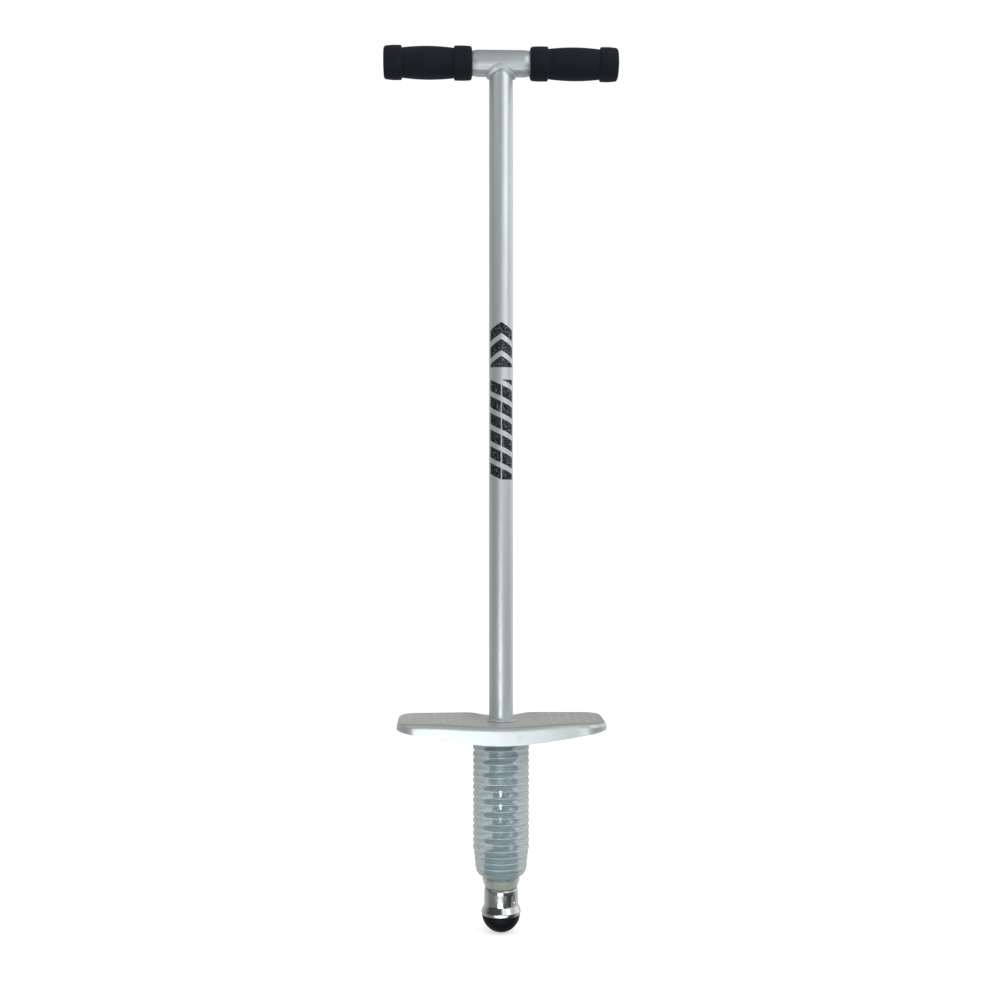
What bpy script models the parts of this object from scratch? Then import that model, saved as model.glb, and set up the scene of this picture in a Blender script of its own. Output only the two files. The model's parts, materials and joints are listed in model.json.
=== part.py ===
"""Pogo stick: a T-handle frame with a spring-loaded plunger inside a bellows.

Metres, +Z up. The origin is on the axis of the stick where the rubber tip meets the ground.
The rider stands on the +X and -X wings of the footplate and faces -Y.
"""

import math

import bmesh
import bpy
from mathutils import Matrix, Vector

# ---------------------------------------------------------------- driving sizes
GAP = 0.0003  # clearance between neighbouring pieces
SLIDE_GAP = 0.0003  # radial clearance of sliding fits

TRAVEL = 0.070  # how far the plunger goes up into the tube

TUBE_R = 0.0127
TUBE_WALL = 0.0015
TUBE_MOUTH_Z = 0.160

BAR_R = 0.0140
BAR_WALL = 0.0015
BAR_SWAGE = 0.0029  # how much the bar's radius drops inside the grips
BAR_AXIS_Z = 0.9260
BAR_FULL_HALF = 0.0265  # half length at full diameter
BAR_END_INSET = 0.0025  # from the grip's end in to the bar's end
HANDLE_HALF = 0.1249  # half width over the grips
HANDLE_WELD_R = 0.0030

GRIP_INNER_X = 0.0309
GRIP_FLANGE_FOAM = 0.0070  # foam thickness over the swaged bar
GRIP_NECK_FOAM = 0.00455
GRIP_CROWN_FOAM = 0.00625
GRIP_FLANGE_LENGTH = 0.0186
GRIP_ROUND = 0.0030
GRIP_RELIEF_DEPTH = 0.0045  # of the wider bore over the bar's shoulder

PLATE_HALF_X = 0.1104
PLATE_HALF_Y = 0.0460
PLATE_CORNER_R = 0.0220
PLATE_SHEET = 0.0020
PLATE_BEND_R = 0.0050
PLATE_TOP_Z = 0.2280
PLATE_VALLEY = 0.0030  # how much lower the plate is where the tube goes through
PLATE_VALLEY_FLAT = 0.0180
PLATE_VALLEY_END = 0.0370
PLATE_WELD_LEG = 0.0036
SKIRT_DEPTH = 0.0228  # at the middle, from the top of the wings
SKIRT_RISE = 0.0087  # how much the skirt has risen at SKIRT_RISE_SHARE of the half length
SKIRT_RISE_SHARE = 0.7246
SKIRT_RISE_POWER = 1.6

WIRE_R = 0.0025
COIL_CLEARANCE = 0.0008  # between the tube and the inside of the coils
CLOSED_PITCH_GAP = 0.0004  # between the closed coils
CLOSED_TURNS_LOW = 4
CLOSED_TURNS_TOP = 1
OPEN_TURNS = 10

BUSH_WALL = 0.0011
PLUNGER_WALL = 0.0020
STOP_PIN_R = 0.0030
STOP_PIN_RISE = 0.0300  # above the tube's mouth
PLUNGER_TOP_RISE = 0.0230  # above the stop pin

CUP_SHEET = 0.0020
WASHER_THICKNESS = 0.0015
CLIP_THICKNESS = 0.0015
BELLOWS_ROOM = 0.0117  # from the outside of the coils to the crest of the ribs
BELLOWS_WALL = 0.0011
RIB_DEPTH = 0.0020
RIB_COUNT = 17
SMALL_RIB_COUNT = 3
SMALL_RIB_SHARE = 0.92  # of the full rib's pitch
CUFF_LENGTH = 0.0136

SEAT_Z = 0.0480
SEAT_HEIGHT = 0.0077

FERRULE_R = 0.0179
BEAD_R = 0.0208
BEAD_Z = 0.0218
FERRULE_LIP_Z = 0.0193
FERRULE_SHOULDER_Z = 0.0300
FOOT_PIN_R = 0.0020
FOOT_PIN_Z = 0.0335
FOOT_PIN_TURN = math.radians(-47.0)  # heading of the foot pin about Z, from +X
TIP_WASHER_THICKNESS = 0.0027

SEGMENTS = 24
BELLOWS_SEGMENTS = 20
GRIP_SEGMENTS = 20
SPRING_STEPS = 12

# ---------------------------------------------------------------- fitted sizes
TUBE_BORE_R = TUBE_R - TUBE_WALL
BAR_END_R = BAR_R - BAR_SWAGE
BAR_HALF = HANDLE_HALF - BAR_END_INSET
GRIP_LENGTH = HANDLE_HALF - GRIP_INNER_X
GRIP_FLANGE_R = BAR_END_R + GRIP_FLANGE_FOAM
GRIP_NECK_R = BAR_END_R + GRIP_NECK_FOAM
GRIP_CROWN_R = BAR_END_R + GRIP_CROWN_FOAM
GRIP_RELIEF = BAR_SWAGE - 0.0005

PLATE_CENTRE_Z = PLATE_TOP_Z - PLATE_VALLEY
PLATE_HOLE_R = TUBE_R + 2.0 * GAP
SKIRT_BOTTOM_Z = PLATE_TOP_Z - SKIRT_DEPTH
SKIRT_RISE_X = SKIRT_RISE_SHARE * PLATE_HALF_X

COIL_R = TUBE_R + COIL_CLEARANCE + WIRE_R  # mean coil radius
BELLOWS_PEAK_R = COIL_R + WIRE_R + BELLOWS_ROOM

CUP_TOP_Z = PLATE_CENTRE_Z - PLATE_SHEET - GAP
CUFF_OUTER_R = BELLOWS_PEAK_R - RIB_DEPTH
CUP_R = CUFF_OUTER_R - BELLOWS_WALL - 2.0 * GAP
CUFF_TOP_Z = CUP_TOP_Z - CUP_SHEET - GAP
CUFF_LOW_Z = CUFF_TOP_Z - CUFF_LENGTH
WASHER_TOP_Z = CUP_TOP_Z - CUP_SHEET - GAP

CLOSED_PITCH = 2.0 * WIRE_R + CLOSED_PITCH_GAP
SPRING_TOP_Z = WASHER_TOP_Z - WASHER_THICKNESS - GAP
SPRING_LOW_Z = SEAT_Z + SEAT_HEIGHT + GAP

PLUNGER_R = TUBE_BORE_R - GAP - BUSH_WALL - SLIDE_GAP
STOP_PIN_Z = TUBE_MOUTH_Z + STOP_PIN_RISE
PLUNGER_TOP_Z = STOP_PIN_Z + PLUNGER_TOP_RISE
PLUNGER_LOW_Z = FERRULE_SHOULDER_Z + GAP

SEAT_R = COIL_R - 0.0002
NECK_R = COIL_R + WIRE_R + 0.0005 + BELLOWS_WALL
NECK_RIM_R = SEAT_R + 0.0004 + BELLOWS_WALL
NECK_RIM_Z = SEAT_Z + GAP
SHOULDER_Z = NECK_RIM_Z + 0.0201
FIRST_RIB_Z = CUFF_LOW_Z - 0.0028
RIB_PITCH = (FIRST_RIB_Z - SHOULDER_Z) / (RIB_COUNT - 0.5 + SMALL_RIB_COUNT * SMALL_RIB_SHARE)

FERRULE_TOP_Z = SEAT_Z - GAP
CAVITY_R = BEAD_R - 0.0038
TIP_R = BEAD_R - 0.0005


# ---------------------------------------------------------------- helpers
def clear_scene():
    for obj in list(bpy.data.objects):
        bpy.data.objects.remove(obj, do_unlink=True)


def material(name, colour, metallic, roughness, alpha=1.0):
    made = bpy.data.materials.new(name)
    made.use_nodes = True
    shader = made.node_tree.nodes["Principled BSDF"]
    shader.inputs["Base Color"].default_value = (*colour, 1.0)
    shader.inputs["Metallic"].default_value = metallic
    shader.inputs["Roughness"].default_value = roughness
    shader.inputs["Alpha"].default_value = alpha
    made.diffuse_color = (*colour, alpha)
    return made


def empty(name, location):
    made = bpy.data.objects.new(name, None)
    made.location = location
    bpy.context.scene.collection.objects.link(made)
    return made


def finish(name, bm, parent, finish_material, smooth=True):
    """Close the bmesh into a named object at its own place and hang it on its parent."""
    bmesh.ops.recalc_face_normals(bm, faces=bm.faces)
    for face in bm.faces:
        face.smooth = smooth
    mesh = bpy.data.meshes.new(name)
    bm.to_mesh(mesh)
    bm.free()
    mesh.materials.append(finish_material)
    made = bpy.data.objects.new(name, mesh)
    bpy.context.scene.collection.objects.link(made)
    made.parent = parent
    return made


def lathe(name, profile, parent, finish_material, segments=SEGMENTS, ring=True):
    """Turn a profile of (radius, height) points about local Z.

    A ring has a closed profile; otherwise the first and last points are on the axis.
    """
    bm = bmesh.new()
    verts = [bm.verts.new((r, 0.0, z)) for r, z in profile]
    edges = [bm.edges.new((a, b)) for a, b in zip(verts, verts[1:])]
    if ring:
        edges.append(bm.edges.new((verts[-1], verts[0])))
    bmesh.ops.spin(
        bm,
        geom=verts + edges,
        cent=(0.0, 0.0, 0.0),
        axis=(0.0, 0.0, 1.0),
        angle=2.0 * math.pi,
        steps=segments,
        use_merge=True,
    )
    bmesh.ops.remove_doubles(bm, verts=bm.verts, dist=1e-7)
    return finish(name, bm, parent, finish_material)


def skin(name, rings, parent, finish_material, loop=False):
    """Join rings of equal point count; a loop closes on its first ring, otherwise ends are capped."""
    bm = bmesh.new()
    rows = [[bm.verts.new(point) for point in ring] for ring in rings]
    pairs = list(zip(rows, rows[1:]))
    if loop:
        pairs.append((rows[-1], rows[0]))
    for low, high in pairs:
        for i in range(len(low)):
            j = (i + 1) % len(low)
            bm.faces.new((low[i], low[j], high[j], high[i]))
    if not loop:
        bm.faces.new(rows[0])
        bm.faces.new(rows[-1])
    return finish(name, bm, parent, finish_material)


def cutter(name, bm):
    """A hidden body that a boolean takes away."""
    bmesh.ops.recalc_face_normals(bm, faces=bm.faces)
    mesh = bpy.data.meshes.new(name)
    bm.to_mesh(mesh)
    bm.free()
    made = bpy.data.objects.new(name, mesh)
    bpy.context.scene.collection.objects.link(made)
    made.hide_render = True
    made.display_type = "WIRE"
    return made


def rod_cutter(name, radius, half_length, matrix, segments=SEGMENTS):
    bm = bmesh.new()
    bmesh.ops.create_cone(
        bm,
        cap_ends=True,
        segments=segments,
        radius1=radius,
        radius2=radius,
        depth=2.0 * half_length,
        matrix=matrix,
    )
    return cutter(name, bm)


def slot_cutter(name, radius, low_z, high_z, half_length):
    """A prism along X with a slot section: straight sides and round ends."""
    bm = bmesh.new()
    count = 9
    section = []
    for k in range(count):
        angle = math.pi * k / (count - 1)
        section.append((radius * math.cos(angle), high_z - radius + radius * math.sin(angle)))
    for k in range(count):
        angle = math.pi + math.pi * k / (count - 1)
        section.append((radius * math.cos(angle), low_z + radius + radius * math.sin(angle)))
    face = bm.faces.new([bm.verts.new((-half_length, y, z)) for y, z in section])
    grown = bmesh.ops.extrude_face_region(bm, geom=[face])
    moved = [item for item in grown["geom"] if isinstance(item, bmesh.types.BMVert)]
    bmesh.ops.translate(bm, verts=moved, vec=(2.0 * half_length, 0.0, 0.0))
    return cutter(name, bm)


def cut(target, tool):
    made = target.modifiers.new("cut_" + tool.name, "BOOLEAN")
    made.operation = "DIFFERENCE"
    made.solver = "EXACT"
    made.object = tool


def ease(value):
    held = min(max(value, 0.0), 1.0)
    return held * held * (3.0 - 2.0 * held)


def round_corner(r_in, z_in, r_out, z_out, steps=3):
    """Points of a quarter ellipse from (r_in, z_in) round to (r_out, z_out)."""
    points = []
    for k in range(steps + 1):
        angle = 0.5 * math.pi * k / steps
        r = r_in + (r_out - r_in) * math.sin(angle)
        z = z_out + (z_in - z_out) * math.cos(angle)
        points.append((r, z))
    return points


ALONG_X = Matrix.Rotation(0.5 * math.pi, 4, "Y")


# ---------------------------------------------------------------- scene and materials
clear_scene()

silver = material("silver_paint", (0.62, 0.65, 0.66), 0.75, 0.32)
handle_silver = material("handle_silver_paint", (0.62, 0.65, 0.66), 0.75, 0.32)
plate_silver = material("plate_silver_paint", (0.66, 0.69, 0.69), 0.70, 0.38)
weld_silver = material("painted_weld_handle", (0.58, 0.61, 0.62), 0.70, 0.45)
plate_weld_silver = material("painted_weld_plate", (0.58, 0.61, 0.62), 0.70, 0.45)
foam_left = material("grip_foam_left", (0.016, 0.020, 0.028), 0.0, 0.85)
foam_right = material("grip_foam_right", (0.016, 0.020, 0.028), 0.0, 0.85)
plug_left = material("plug_plastic_left", (0.02, 0.02, 0.022), 0.0, 0.5)
plug_right = material("plug_plastic_right", (0.02, 0.02, 0.022), 0.0, 0.5)
cup_steel = material("cup_zinc_steel", (0.55, 0.56, 0.57), 0.9, 0.45)
washer_steel = material("washer_zinc_steel", (0.60, 0.60, 0.60), 0.9, 0.40)
bush_nylon = material("bush_nylon", (0.75, 0.74, 0.68), 0.0, 0.45)
pin_steel = material("stop_pin_steel", (0.25, 0.25, 0.26), 0.9, 0.35)
clip_nylon = material("clip_band_plastic", (0.03, 0.03, 0.03), 0.0, 0.5)
spring_steel = material("spring_steel", (0.10, 0.13, 0.17), 0.6, 0.42)
bellows_plastic = material("bellows_plastic", (0.70, 0.74, 0.70), 0.0, 0.40, 0.45)
plunger_chrome = material("plunger_chrome", (0.80, 0.81, 0.82), 1.0, 0.12)
slider_nylon = material("slider_nylon", (0.75, 0.74, 0.68), 0.0, 0.45)
seat_plastic = material("seat_plastic", (0.62, 0.56, 0.34), 0.0, 0.45)
ferrule_chrome = material("ferrule_chrome", (0.80, 0.81, 0.82), 1.0, 0.10)
foot_pin_steel = material("foot_pin_steel", (0.70, 0.70, 0.71), 1.0, 0.25)
tip_washer_steel = material("tip_washer_steel", (0.50, 0.50, 0.50), 0.9, 0.45)
tip_rubber = material("tip_rubber", (0.012, 0.012, 0.013), 0.0, 0.70)

frame = empty("frame_root", (0.0, 0.0, 0.0))
plunger = empty("plunger_root", (0.0, 0.0, 0.0))
plunger.parent = frame


# ---------------------------------------------------------------- handle
bar_bore = BAR_END_R - BAR_WALL
bar_profile = [
    (bar_bore, -BAR_HALF),
    (BAR_END_R, -BAR_HALF),
    (BAR_END_R, -BAR_FULL_HALF - 0.0075),
    (BAR_R - 0.0011, -BAR_FULL_HALF - 0.0044),
    (BAR_R - 0.0002, -BAR_FULL_HALF - 0.0014),
    (BAR_R, -BAR_FULL_HALF),
    (BAR_R, BAR_FULL_HALF),
    (BAR_R - 0.0002, BAR_FULL_HALF + 0.0014),
    (BAR_R - 0.0011, BAR_FULL_HALF + 0.0044),
    (BAR_END_R, BAR_FULL_HALF + 0.0075),
    (BAR_END_R, BAR_HALF),
    (bar_bore, BAR_HALF),
    (bar_bore, BAR_FULL_HALF + 0.0075),
    (BAR_R - BAR_WALL, BAR_FULL_HALF),
    (BAR_R - BAR_WALL, -BAR_FULL_HALF),
    (bar_bore, -BAR_FULL_HALF - 0.0075),
]
crossbar = lathe("crossbar", bar_profile, frame, handle_silver)
crossbar.rotation_euler = (0.0, 0.5 * math.pi, 0.0)
crossbar.location = (0.0, 0.0, BAR_AXIS_Z)

tube_profile = [
    (TUBE_BORE_R, TUBE_MOUTH_Z),
    (TUBE_R, TUBE_MOUTH_Z),
    (TUBE_R, BAR_AXIS_Z),
    (TUBE_BORE_R, BAR_AXIS_Z),
]
main_tube = lathe("main_tube", tube_profile, frame, silver)
bar_space = rod_cutter(
    "bar_space",
    BAR_R + GAP,
    2.0 * TUBE_R,
    Matrix.Translation((0.0, 0.0, BAR_AXIS_Z)) @ ALONG_X,
)
cut(main_tube, bar_space)

# The weld bead follows the saddle line where the round tube meets the round bar.
weld_rings = []
for step in range(SEGMENTS):
    heading = 2.0 * math.pi * step / SEGMENTS
    out = Vector((math.cos(heading), math.sin(heading), 0.0))
    saddle_z = BAR_AXIS_Z - math.sqrt(BAR_R**2 - (TUBE_R * math.sin(heading)) ** 2)
    centre = out * (TUBE_R + 0.0006) + Vector((0.0, 0.0, saddle_z - 0.0004))
    ring = []
    for k in range(10):
        angle = 2.0 * math.pi * k / 10
        across = out * (HANDLE_WELD_R * math.cos(angle))
        ring.append(centre + across + Vector((0.0, 0.0, HANDLE_WELD_R * math.sin(angle))))
    weld_rings.append(ring)
handle_weld = skin("handle_weld", weld_rings, frame, weld_silver, loop=True)
tube_space = rod_cutter(
    "tube_space", TUBE_R + GAP, 0.03, Matrix.Translation((0.0, 0.0, BAR_AXIS_Z - 0.02))
)
cut(handle_weld, bar_space)
cut(handle_weld, tube_space)


def grip_profile():
    """Foam grip from its inner end at height 0 to its outer end at GRIP_LENGTH."""
    bore = BAR_END_R + GAP
    low_step = GRIP_FLANGE_LENGTH
    high_step = GRIP_LENGTH - GRIP_FLANGE_LENGTH
    points = [(bore + GRIP_RELIEF, 0.0)]
    points += round_corner(GRIP_FLANGE_R - GRIP_ROUND, 0.0, GRIP_FLANGE_R, GRIP_ROUND)
    points.append((GRIP_FLANGE_R, low_step - 0.0012))
    points.append((GRIP_NECK_R, low_step + 0.0008))
    barrel = high_step - low_step
    for k in range(1, 6):
        share = k / 6
        swell = GRIP_NECK_R + (GRIP_CROWN_R - GRIP_NECK_R) * math.sin(math.pi * share)
        points.append((swell, low_step + barrel * share))
    points.append((GRIP_NECK_R, high_step - 0.0008))
    points.append((GRIP_FLANGE_R, high_step + 0.0012))
    points.append((GRIP_FLANGE_R, GRIP_LENGTH - GRIP_ROUND - 0.003))
    round_z = GRIP_LENGTH - GRIP_ROUND
    outer = round_corner(GRIP_FLANGE_R - GRIP_ROUND, GRIP_LENGTH, GRIP_FLANGE_R - 0.0006, round_z)
    points += outer[::-1]
    points.append((bore, GRIP_LENGTH))
    points.append((bore, GRIP_RELIEF_DEPTH))
    return points


grip_left = lathe("grip_left", grip_profile(), frame, foam_left, segments=GRIP_SEGMENTS)
grip_left.rotation_euler = (0.0, -0.5 * math.pi, 0.0)
grip_left.location = (-GRIP_INNER_X, 0.0, BAR_AXIS_Z)
grip_right = lathe("grip_right", grip_profile(), frame, foam_right, segments=GRIP_SEGMENTS)
grip_right.rotation_euler = (0.0, 0.5 * math.pi, 0.0)
grip_right.location = (GRIP_INNER_X, 0.0, BAR_AXIS_Z)

plug_head = HANDLE_HALF - BAR_HALF - GAP
plug_profile = [
    (0.0, -0.0100),
    (bar_bore - GAP - 0.0008, -0.0100),
    (bar_bore - GAP, -0.0085),
    (bar_bore - GAP, GAP),
    (BAR_END_R, GAP),
    (BAR_END_R, plug_head - 0.0006),
    (BAR_END_R - 0.0010, plug_head),
    (0.0, plug_head),
]
end_plug_left = lathe("end_plug_left", plug_profile, frame, plug_left, ring=False)
end_plug_left.rotation_euler = (0.0, -0.5 * math.pi, 0.0)
end_plug_left.location = (-BAR_HALF, 0.0, BAR_AXIS_Z)
end_plug_right = lathe("end_plug_right", plug_profile, frame, plug_right, ring=False)
end_plug_right.rotation_euler = (0.0, 0.5 * math.pi, 0.0)
end_plug_right.location = (BAR_HALF, 0.0, BAR_AXIS_Z)


# ---------------------------------------------------------------- footplate
def outline(inset):
    """Points round the plate's plan, a rounded rectangle drawn in by the inset."""
    radius = PLATE_CORNER_R - inset
    centre_x = PLATE_HALF_X - PLATE_CORNER_R
    centre_y = PLATE_HALF_Y - PLATE_CORNER_R
    corners = [(1, 1), (-1, 1), (-1, -1), (1, -1)]
    points = []
    for k, (side_x, side_y) in enumerate(corners):
        for step in range(9):
            angle = 0.5 * math.pi * (k + step / 8)
            x = side_x * centre_x + radius * math.cos(angle)
            y = side_y * centre_y + radius * math.sin(angle)
            points.append((x, y))
        next_x, next_y = corners[(k + 1) % 4]
        angle = 0.5 * math.pi * (k + 1)
        end_x = next_x * centre_x + radius * math.cos(angle)
        end_y = next_y * centre_y + radius * math.sin(angle)
        start_x, start_y = points[-1]
        count = 11 if k % 2 == 0 else 2
        for step in range(1, count):
            share = step / count
            points.append((start_x + (end_x - start_x) * share, start_y + (end_y - start_y) * share))
    return points


def circle_of(points, radius):
    """The same points brought in radially to a circle about the tube."""
    made = []
    for x, y in points:
        reach = radius / math.hypot(x, y)
        made.append((x * reach, y * reach))
    return made


def between(inner, outer, share):
    return [(a + (c - a) * share, b + (d - b) * share) for (a, b), (c, d) in zip(inner, outer)]


def plate_z(x):
    share = (abs(x) - PLATE_VALLEY_FLAT) / (PLATE_VALLEY_END - PLATE_VALLEY_FLAT)
    return PLATE_CENTRE_Z + PLATE_VALLEY * ease(share)


def skirt_z(x):
    return SKIRT_BOTTOM_Z + SKIRT_RISE * (abs(x) / SKIRT_RISE_X) ** SKIRT_RISE_POWER


flat_edge = outline(PLATE_BEND_R)
hole_ring = circle_of(flat_edge, PLATE_HOLE_R)
disc_ring = circle_of(flat_edge, PLATE_VALLEY_FLAT)
shares = [0.12, 0.25, 0.6, 1.0]
top_rings = [hole_ring, disc_ring] + [between(disc_ring, flat_edge, share) for share in shares]
plate_rings = [[(x, y, plate_z(x)) for x, y in ring] for ring in top_rings]
for angle in (30.0, 60.0, 90.0):
    bend = math.radians(angle)
    ring = outline(PLATE_BEND_R * (1.0 - math.sin(bend)))
    drop = PLATE_BEND_R * (1.0 - math.cos(bend))
    plate_rings.append([(x, y, plate_z(x) - drop) for x, y in ring])
plate_rings.append([(x, y, skirt_z(x)) for x, y in outline(0.0)])
inner_bend = PLATE_BEND_R - PLATE_SHEET
plate_rings.append([(x, y, skirt_z(x)) for x, y in outline(PLATE_SHEET)])
for angle in (90.0, 45.0):
    bend = math.radians(angle)
    ring = outline(PLATE_BEND_R - inner_bend * math.sin(bend))
    drop = PLATE_BEND_R - inner_bend * math.cos(bend)
    plate_rings.append([(x, y, plate_z(x) - drop) for x, y in ring])
for ring in reversed(top_rings):
    plate_rings.append([(x, y, plate_z(x) - PLATE_SHEET) for x, y in ring])
footplate = skin("footplate", plate_rings, frame, plate_silver, loop=True)

weld_in = TUBE_R + GAP
weld_low = PLATE_CENTRE_Z + GAP
weld_profile = [
    (weld_in, weld_low),
    (weld_in + PLATE_WELD_LEG, weld_low),
    (weld_in + 0.72 * PLATE_WELD_LEG, weld_low + 0.38 * PLATE_WELD_LEG),
    (weld_in + 0.38 * PLATE_WELD_LEG, weld_low + 0.72 * PLATE_WELD_LEG),
    (weld_in, weld_low + PLATE_WELD_LEG),
]
footplate_weld = lathe("footplate_weld", weld_profile, frame, plate_weld_silver)


# ---------------------------------------------------------------- spring housing under the plate
cup_profile = [
    (TUBE_R + GAP, CUP_TOP_Z),
    (TUBE_R + GAP, CUP_TOP_Z - CUP_SHEET),
    (CUP_R - CUP_SHEET, CUP_TOP_Z - CUP_SHEET),
    (CUP_R - CUP_SHEET, CUFF_LOW_Z),
    (CUP_R, CUFF_LOW_Z),
    (CUP_R, CUP_TOP_Z - CUP_SHEET),
    (CUFF_OUTER_R, CUP_TOP_Z - CUP_SHEET),
    (CUFF_OUTER_R, CUP_TOP_Z),
]
spring_cup = lathe("spring_cup", cup_profile, frame, cup_steel)

washer_profile = [
    (TUBE_R + GAP, WASHER_TOP_Z - WASHER_THICKNESS),
    (COIL_R + WIRE_R + 0.0010, WASHER_TOP_Z - WASHER_THICKNESS),
    (COIL_R + WIRE_R + 0.0010, WASHER_TOP_Z),
    (TUBE_R + GAP, WASHER_TOP_Z),
]
upper_spring_washer = lathe("upper_spring_washer", washer_profile, frame, washer_steel)

clip_low = CUFF_LOW_Z + 0.0030
clip_profile = [
    (CUFF_OUTER_R + GAP, clip_low),
    (CUFF_OUTER_R + GAP + CLIP_THICKNESS, clip_low),
    (CUFF_OUTER_R + GAP + CLIP_THICKNESS, clip_low + 0.0080),
    (CUFF_OUTER_R + GAP, clip_low + 0.0080),
]
bellows_clip = lathe("bellows_clip", clip_profile, frame, clip_nylon, segments=BELLOWS_SEGMENTS)


# ---------------------------------------------------------------- bellows
def bellows_outline():
    """Outer wall from the cuff down to the neck rim, as (radius, height)."""
    valley = BELLOWS_PEAK_R - RIB_DEPTH
    points = [(CUFF_OUTER_R, CUFF_TOP_Z), (valley, FIRST_RIB_Z + 0.5 * RIB_PITCH)]
    for k in range(RIB_COUNT):
        peak_z = FIRST_RIB_Z - RIB_PITCH * k
        points.append((BELLOWS_PEAK_R, peak_z))
        points.append((valley, peak_z - 0.5 * RIB_PITCH))
    low_z = points[-1][1]
    small_pitch = SMALL_RIB_SHARE * RIB_PITCH
    for k in range(SMALL_RIB_COUNT):
        peak_z = low_z - small_pitch * (k + 0.5)
        points.append((BELLOWS_PEAK_R - 0.0013 - 0.0006 * k, peak_z))
        points.append((valley - 0.0004 - 0.0006 * k, peak_z - 0.5 * small_pitch))
    points += [
        (NECK_R + 0.0068, NECK_RIM_Z + 0.0190),
        (NECK_R + 0.0054, NECK_RIM_Z + 0.0162),
        (NECK_R + 0.0038, NECK_RIM_Z + 0.0142),
        (NECK_R + 0.0010, NECK_RIM_Z + 0.0124),
        (NECK_R, NECK_RIM_Z + 0.0112),
        (NECK_R, NECK_RIM_Z + 0.0074),
        (0.5 * (NECK_R + NECK_RIM_R) + 0.0002, NECK_RIM_Z + 0.0040),
        (NECK_RIM_R, NECK_RIM_Z),
    ]
    return points


outer_wall = bellows_outline()
inner_wall = [(r - BELLOWS_WALL, z) for r, z in outer_wall]
bellows = lathe(
    "bellows", outer_wall + inner_wall[::-1], frame, bellows_plastic, segments=BELLOWS_SEGMENTS
)


# ---------------------------------------------------------------- spring
def coil_heights(steps_per_turn):
    """Height of the wire's centre at each step: closed coils at both ends, even pitch between."""
    turns = CLOSED_TURNS_LOW + OPEN_TURNS + CLOSED_TURNS_TOP
    low = SPRING_LOW_Z + WIRE_R
    rise = SPRING_TOP_Z - WIRE_R - low
    open_extra = (rise - CLOSED_PITCH * turns) / (OPEN_TURNS - 1)
    heights = [low]
    for step in range(turns * steps_per_turn):
        turn_now = (step + 0.5) / steps_per_turn
        opening = min(turn_now - CLOSED_TURNS_LOW, turns - CLOSED_TURNS_TOP - turn_now)
        pitch = CLOSED_PITCH + open_extra * min(max(opening, 0.0), 1.0)
        heights.append(heights[-1] + pitch / steps_per_turn)
    return heights


spring_rings = []
for step, height in enumerate(coil_heights(SPRING_STEPS)):
    heading = 2.0 * math.pi * step / SPRING_STEPS
    out = Vector((math.cos(heading), math.sin(heading), 0.0))
    ring = []
    for k in range(6):
        angle = 2.0 * math.pi * (k + 0.5) / 6
        reach = COIL_R + WIRE_R * math.cos(angle)
        ring.append(out * reach + Vector((0.0, 0.0, height + WIRE_R * math.sin(angle))))
    spring_rings.append(ring)
main_spring = skin("main_spring", spring_rings, frame, spring_steel)


# ---------------------------------------------------------------- guide and stop in the tube
bush_sleeve_r = TUBE_BORE_R - GAP
bush_bore_r = PLUNGER_R + SLIDE_GAP
bush_profile = [
    (bush_bore_r, TUBE_MOUTH_Z - 0.0023),
    (TUBE_R - 0.0001, TUBE_MOUTH_Z - 0.0023),
    (TUBE_R - 0.0001, TUBE_MOUTH_Z - GAP),
    (bush_sleeve_r, TUBE_MOUTH_Z - GAP),
    (bush_sleeve_r, TUBE_MOUTH_Z + 0.0200),
    (bush_bore_r, TUBE_MOUTH_Z + 0.0200),
]
guide_bush = lathe("guide_bush", bush_profile, frame, bush_nylon)

stop_pin_half = TUBE_R - 0.0002
stop_pin_profile = [
    (0.0, -stop_pin_half),
    (STOP_PIN_R - 0.0004, -stop_pin_half),
    (STOP_PIN_R, -stop_pin_half + 0.0004),
    (STOP_PIN_R, stop_pin_half - 0.0004),
    (STOP_PIN_R - 0.0004, stop_pin_half),
    (0.0, stop_pin_half),
]
stop_pin = lathe("stop_pin", stop_pin_profile, frame, pin_steel, segments=16, ring=False)
stop_pin.rotation_euler = (0.0, 0.5 * math.pi, 0.0)
stop_pin.location = (0.0, 0.0, STOP_PIN_Z)
stop_pin_space = rod_cutter(
    "stop_pin_space",
    STOP_PIN_R + GAP,
    1.5 * TUBE_R,
    Matrix.Translation((0.0, 0.0, STOP_PIN_Z)) @ ALONG_X,
    segments=16,
)
cut(main_tube, stop_pin_space)


# ---------------------------------------------------------------- plunger and foot
plunger_profile = [
    (PLUNGER_R - PLUNGER_WALL, PLUNGER_LOW_Z),
    (PLUNGER_R, PLUNGER_LOW_Z),
    (PLUNGER_R, PLUNGER_TOP_Z),
    (PLUNGER_R - PLUNGER_WALL, PLUNGER_TOP_Z),
]
plunger_tube = lathe("plunger_tube", plunger_profile, plunger, plunger_chrome)
slot_space = slot_cutter(
    "slot_space",
    STOP_PIN_R + GAP,
    STOP_PIN_Z - STOP_PIN_R - GAP - TRAVEL,
    STOP_PIN_Z + STOP_PIN_R + GAP,
    1.5 * PLUNGER_R,
)
cut(plunger_tube, slot_space)
foot_pin_heading = Matrix.Rotation(FOOT_PIN_TURN, 4, "Z") @ ALONG_X
foot_pin_space = rod_cutter(
    "foot_pin_space",
    FOOT_PIN_R + GAP,
    1.5 * FERRULE_R,
    Matrix.Translation((0.0, 0.0, FOOT_PIN_Z)) @ foot_pin_heading,
    segments=16,
)
cut(plunger_tube, foot_pin_space)

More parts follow.
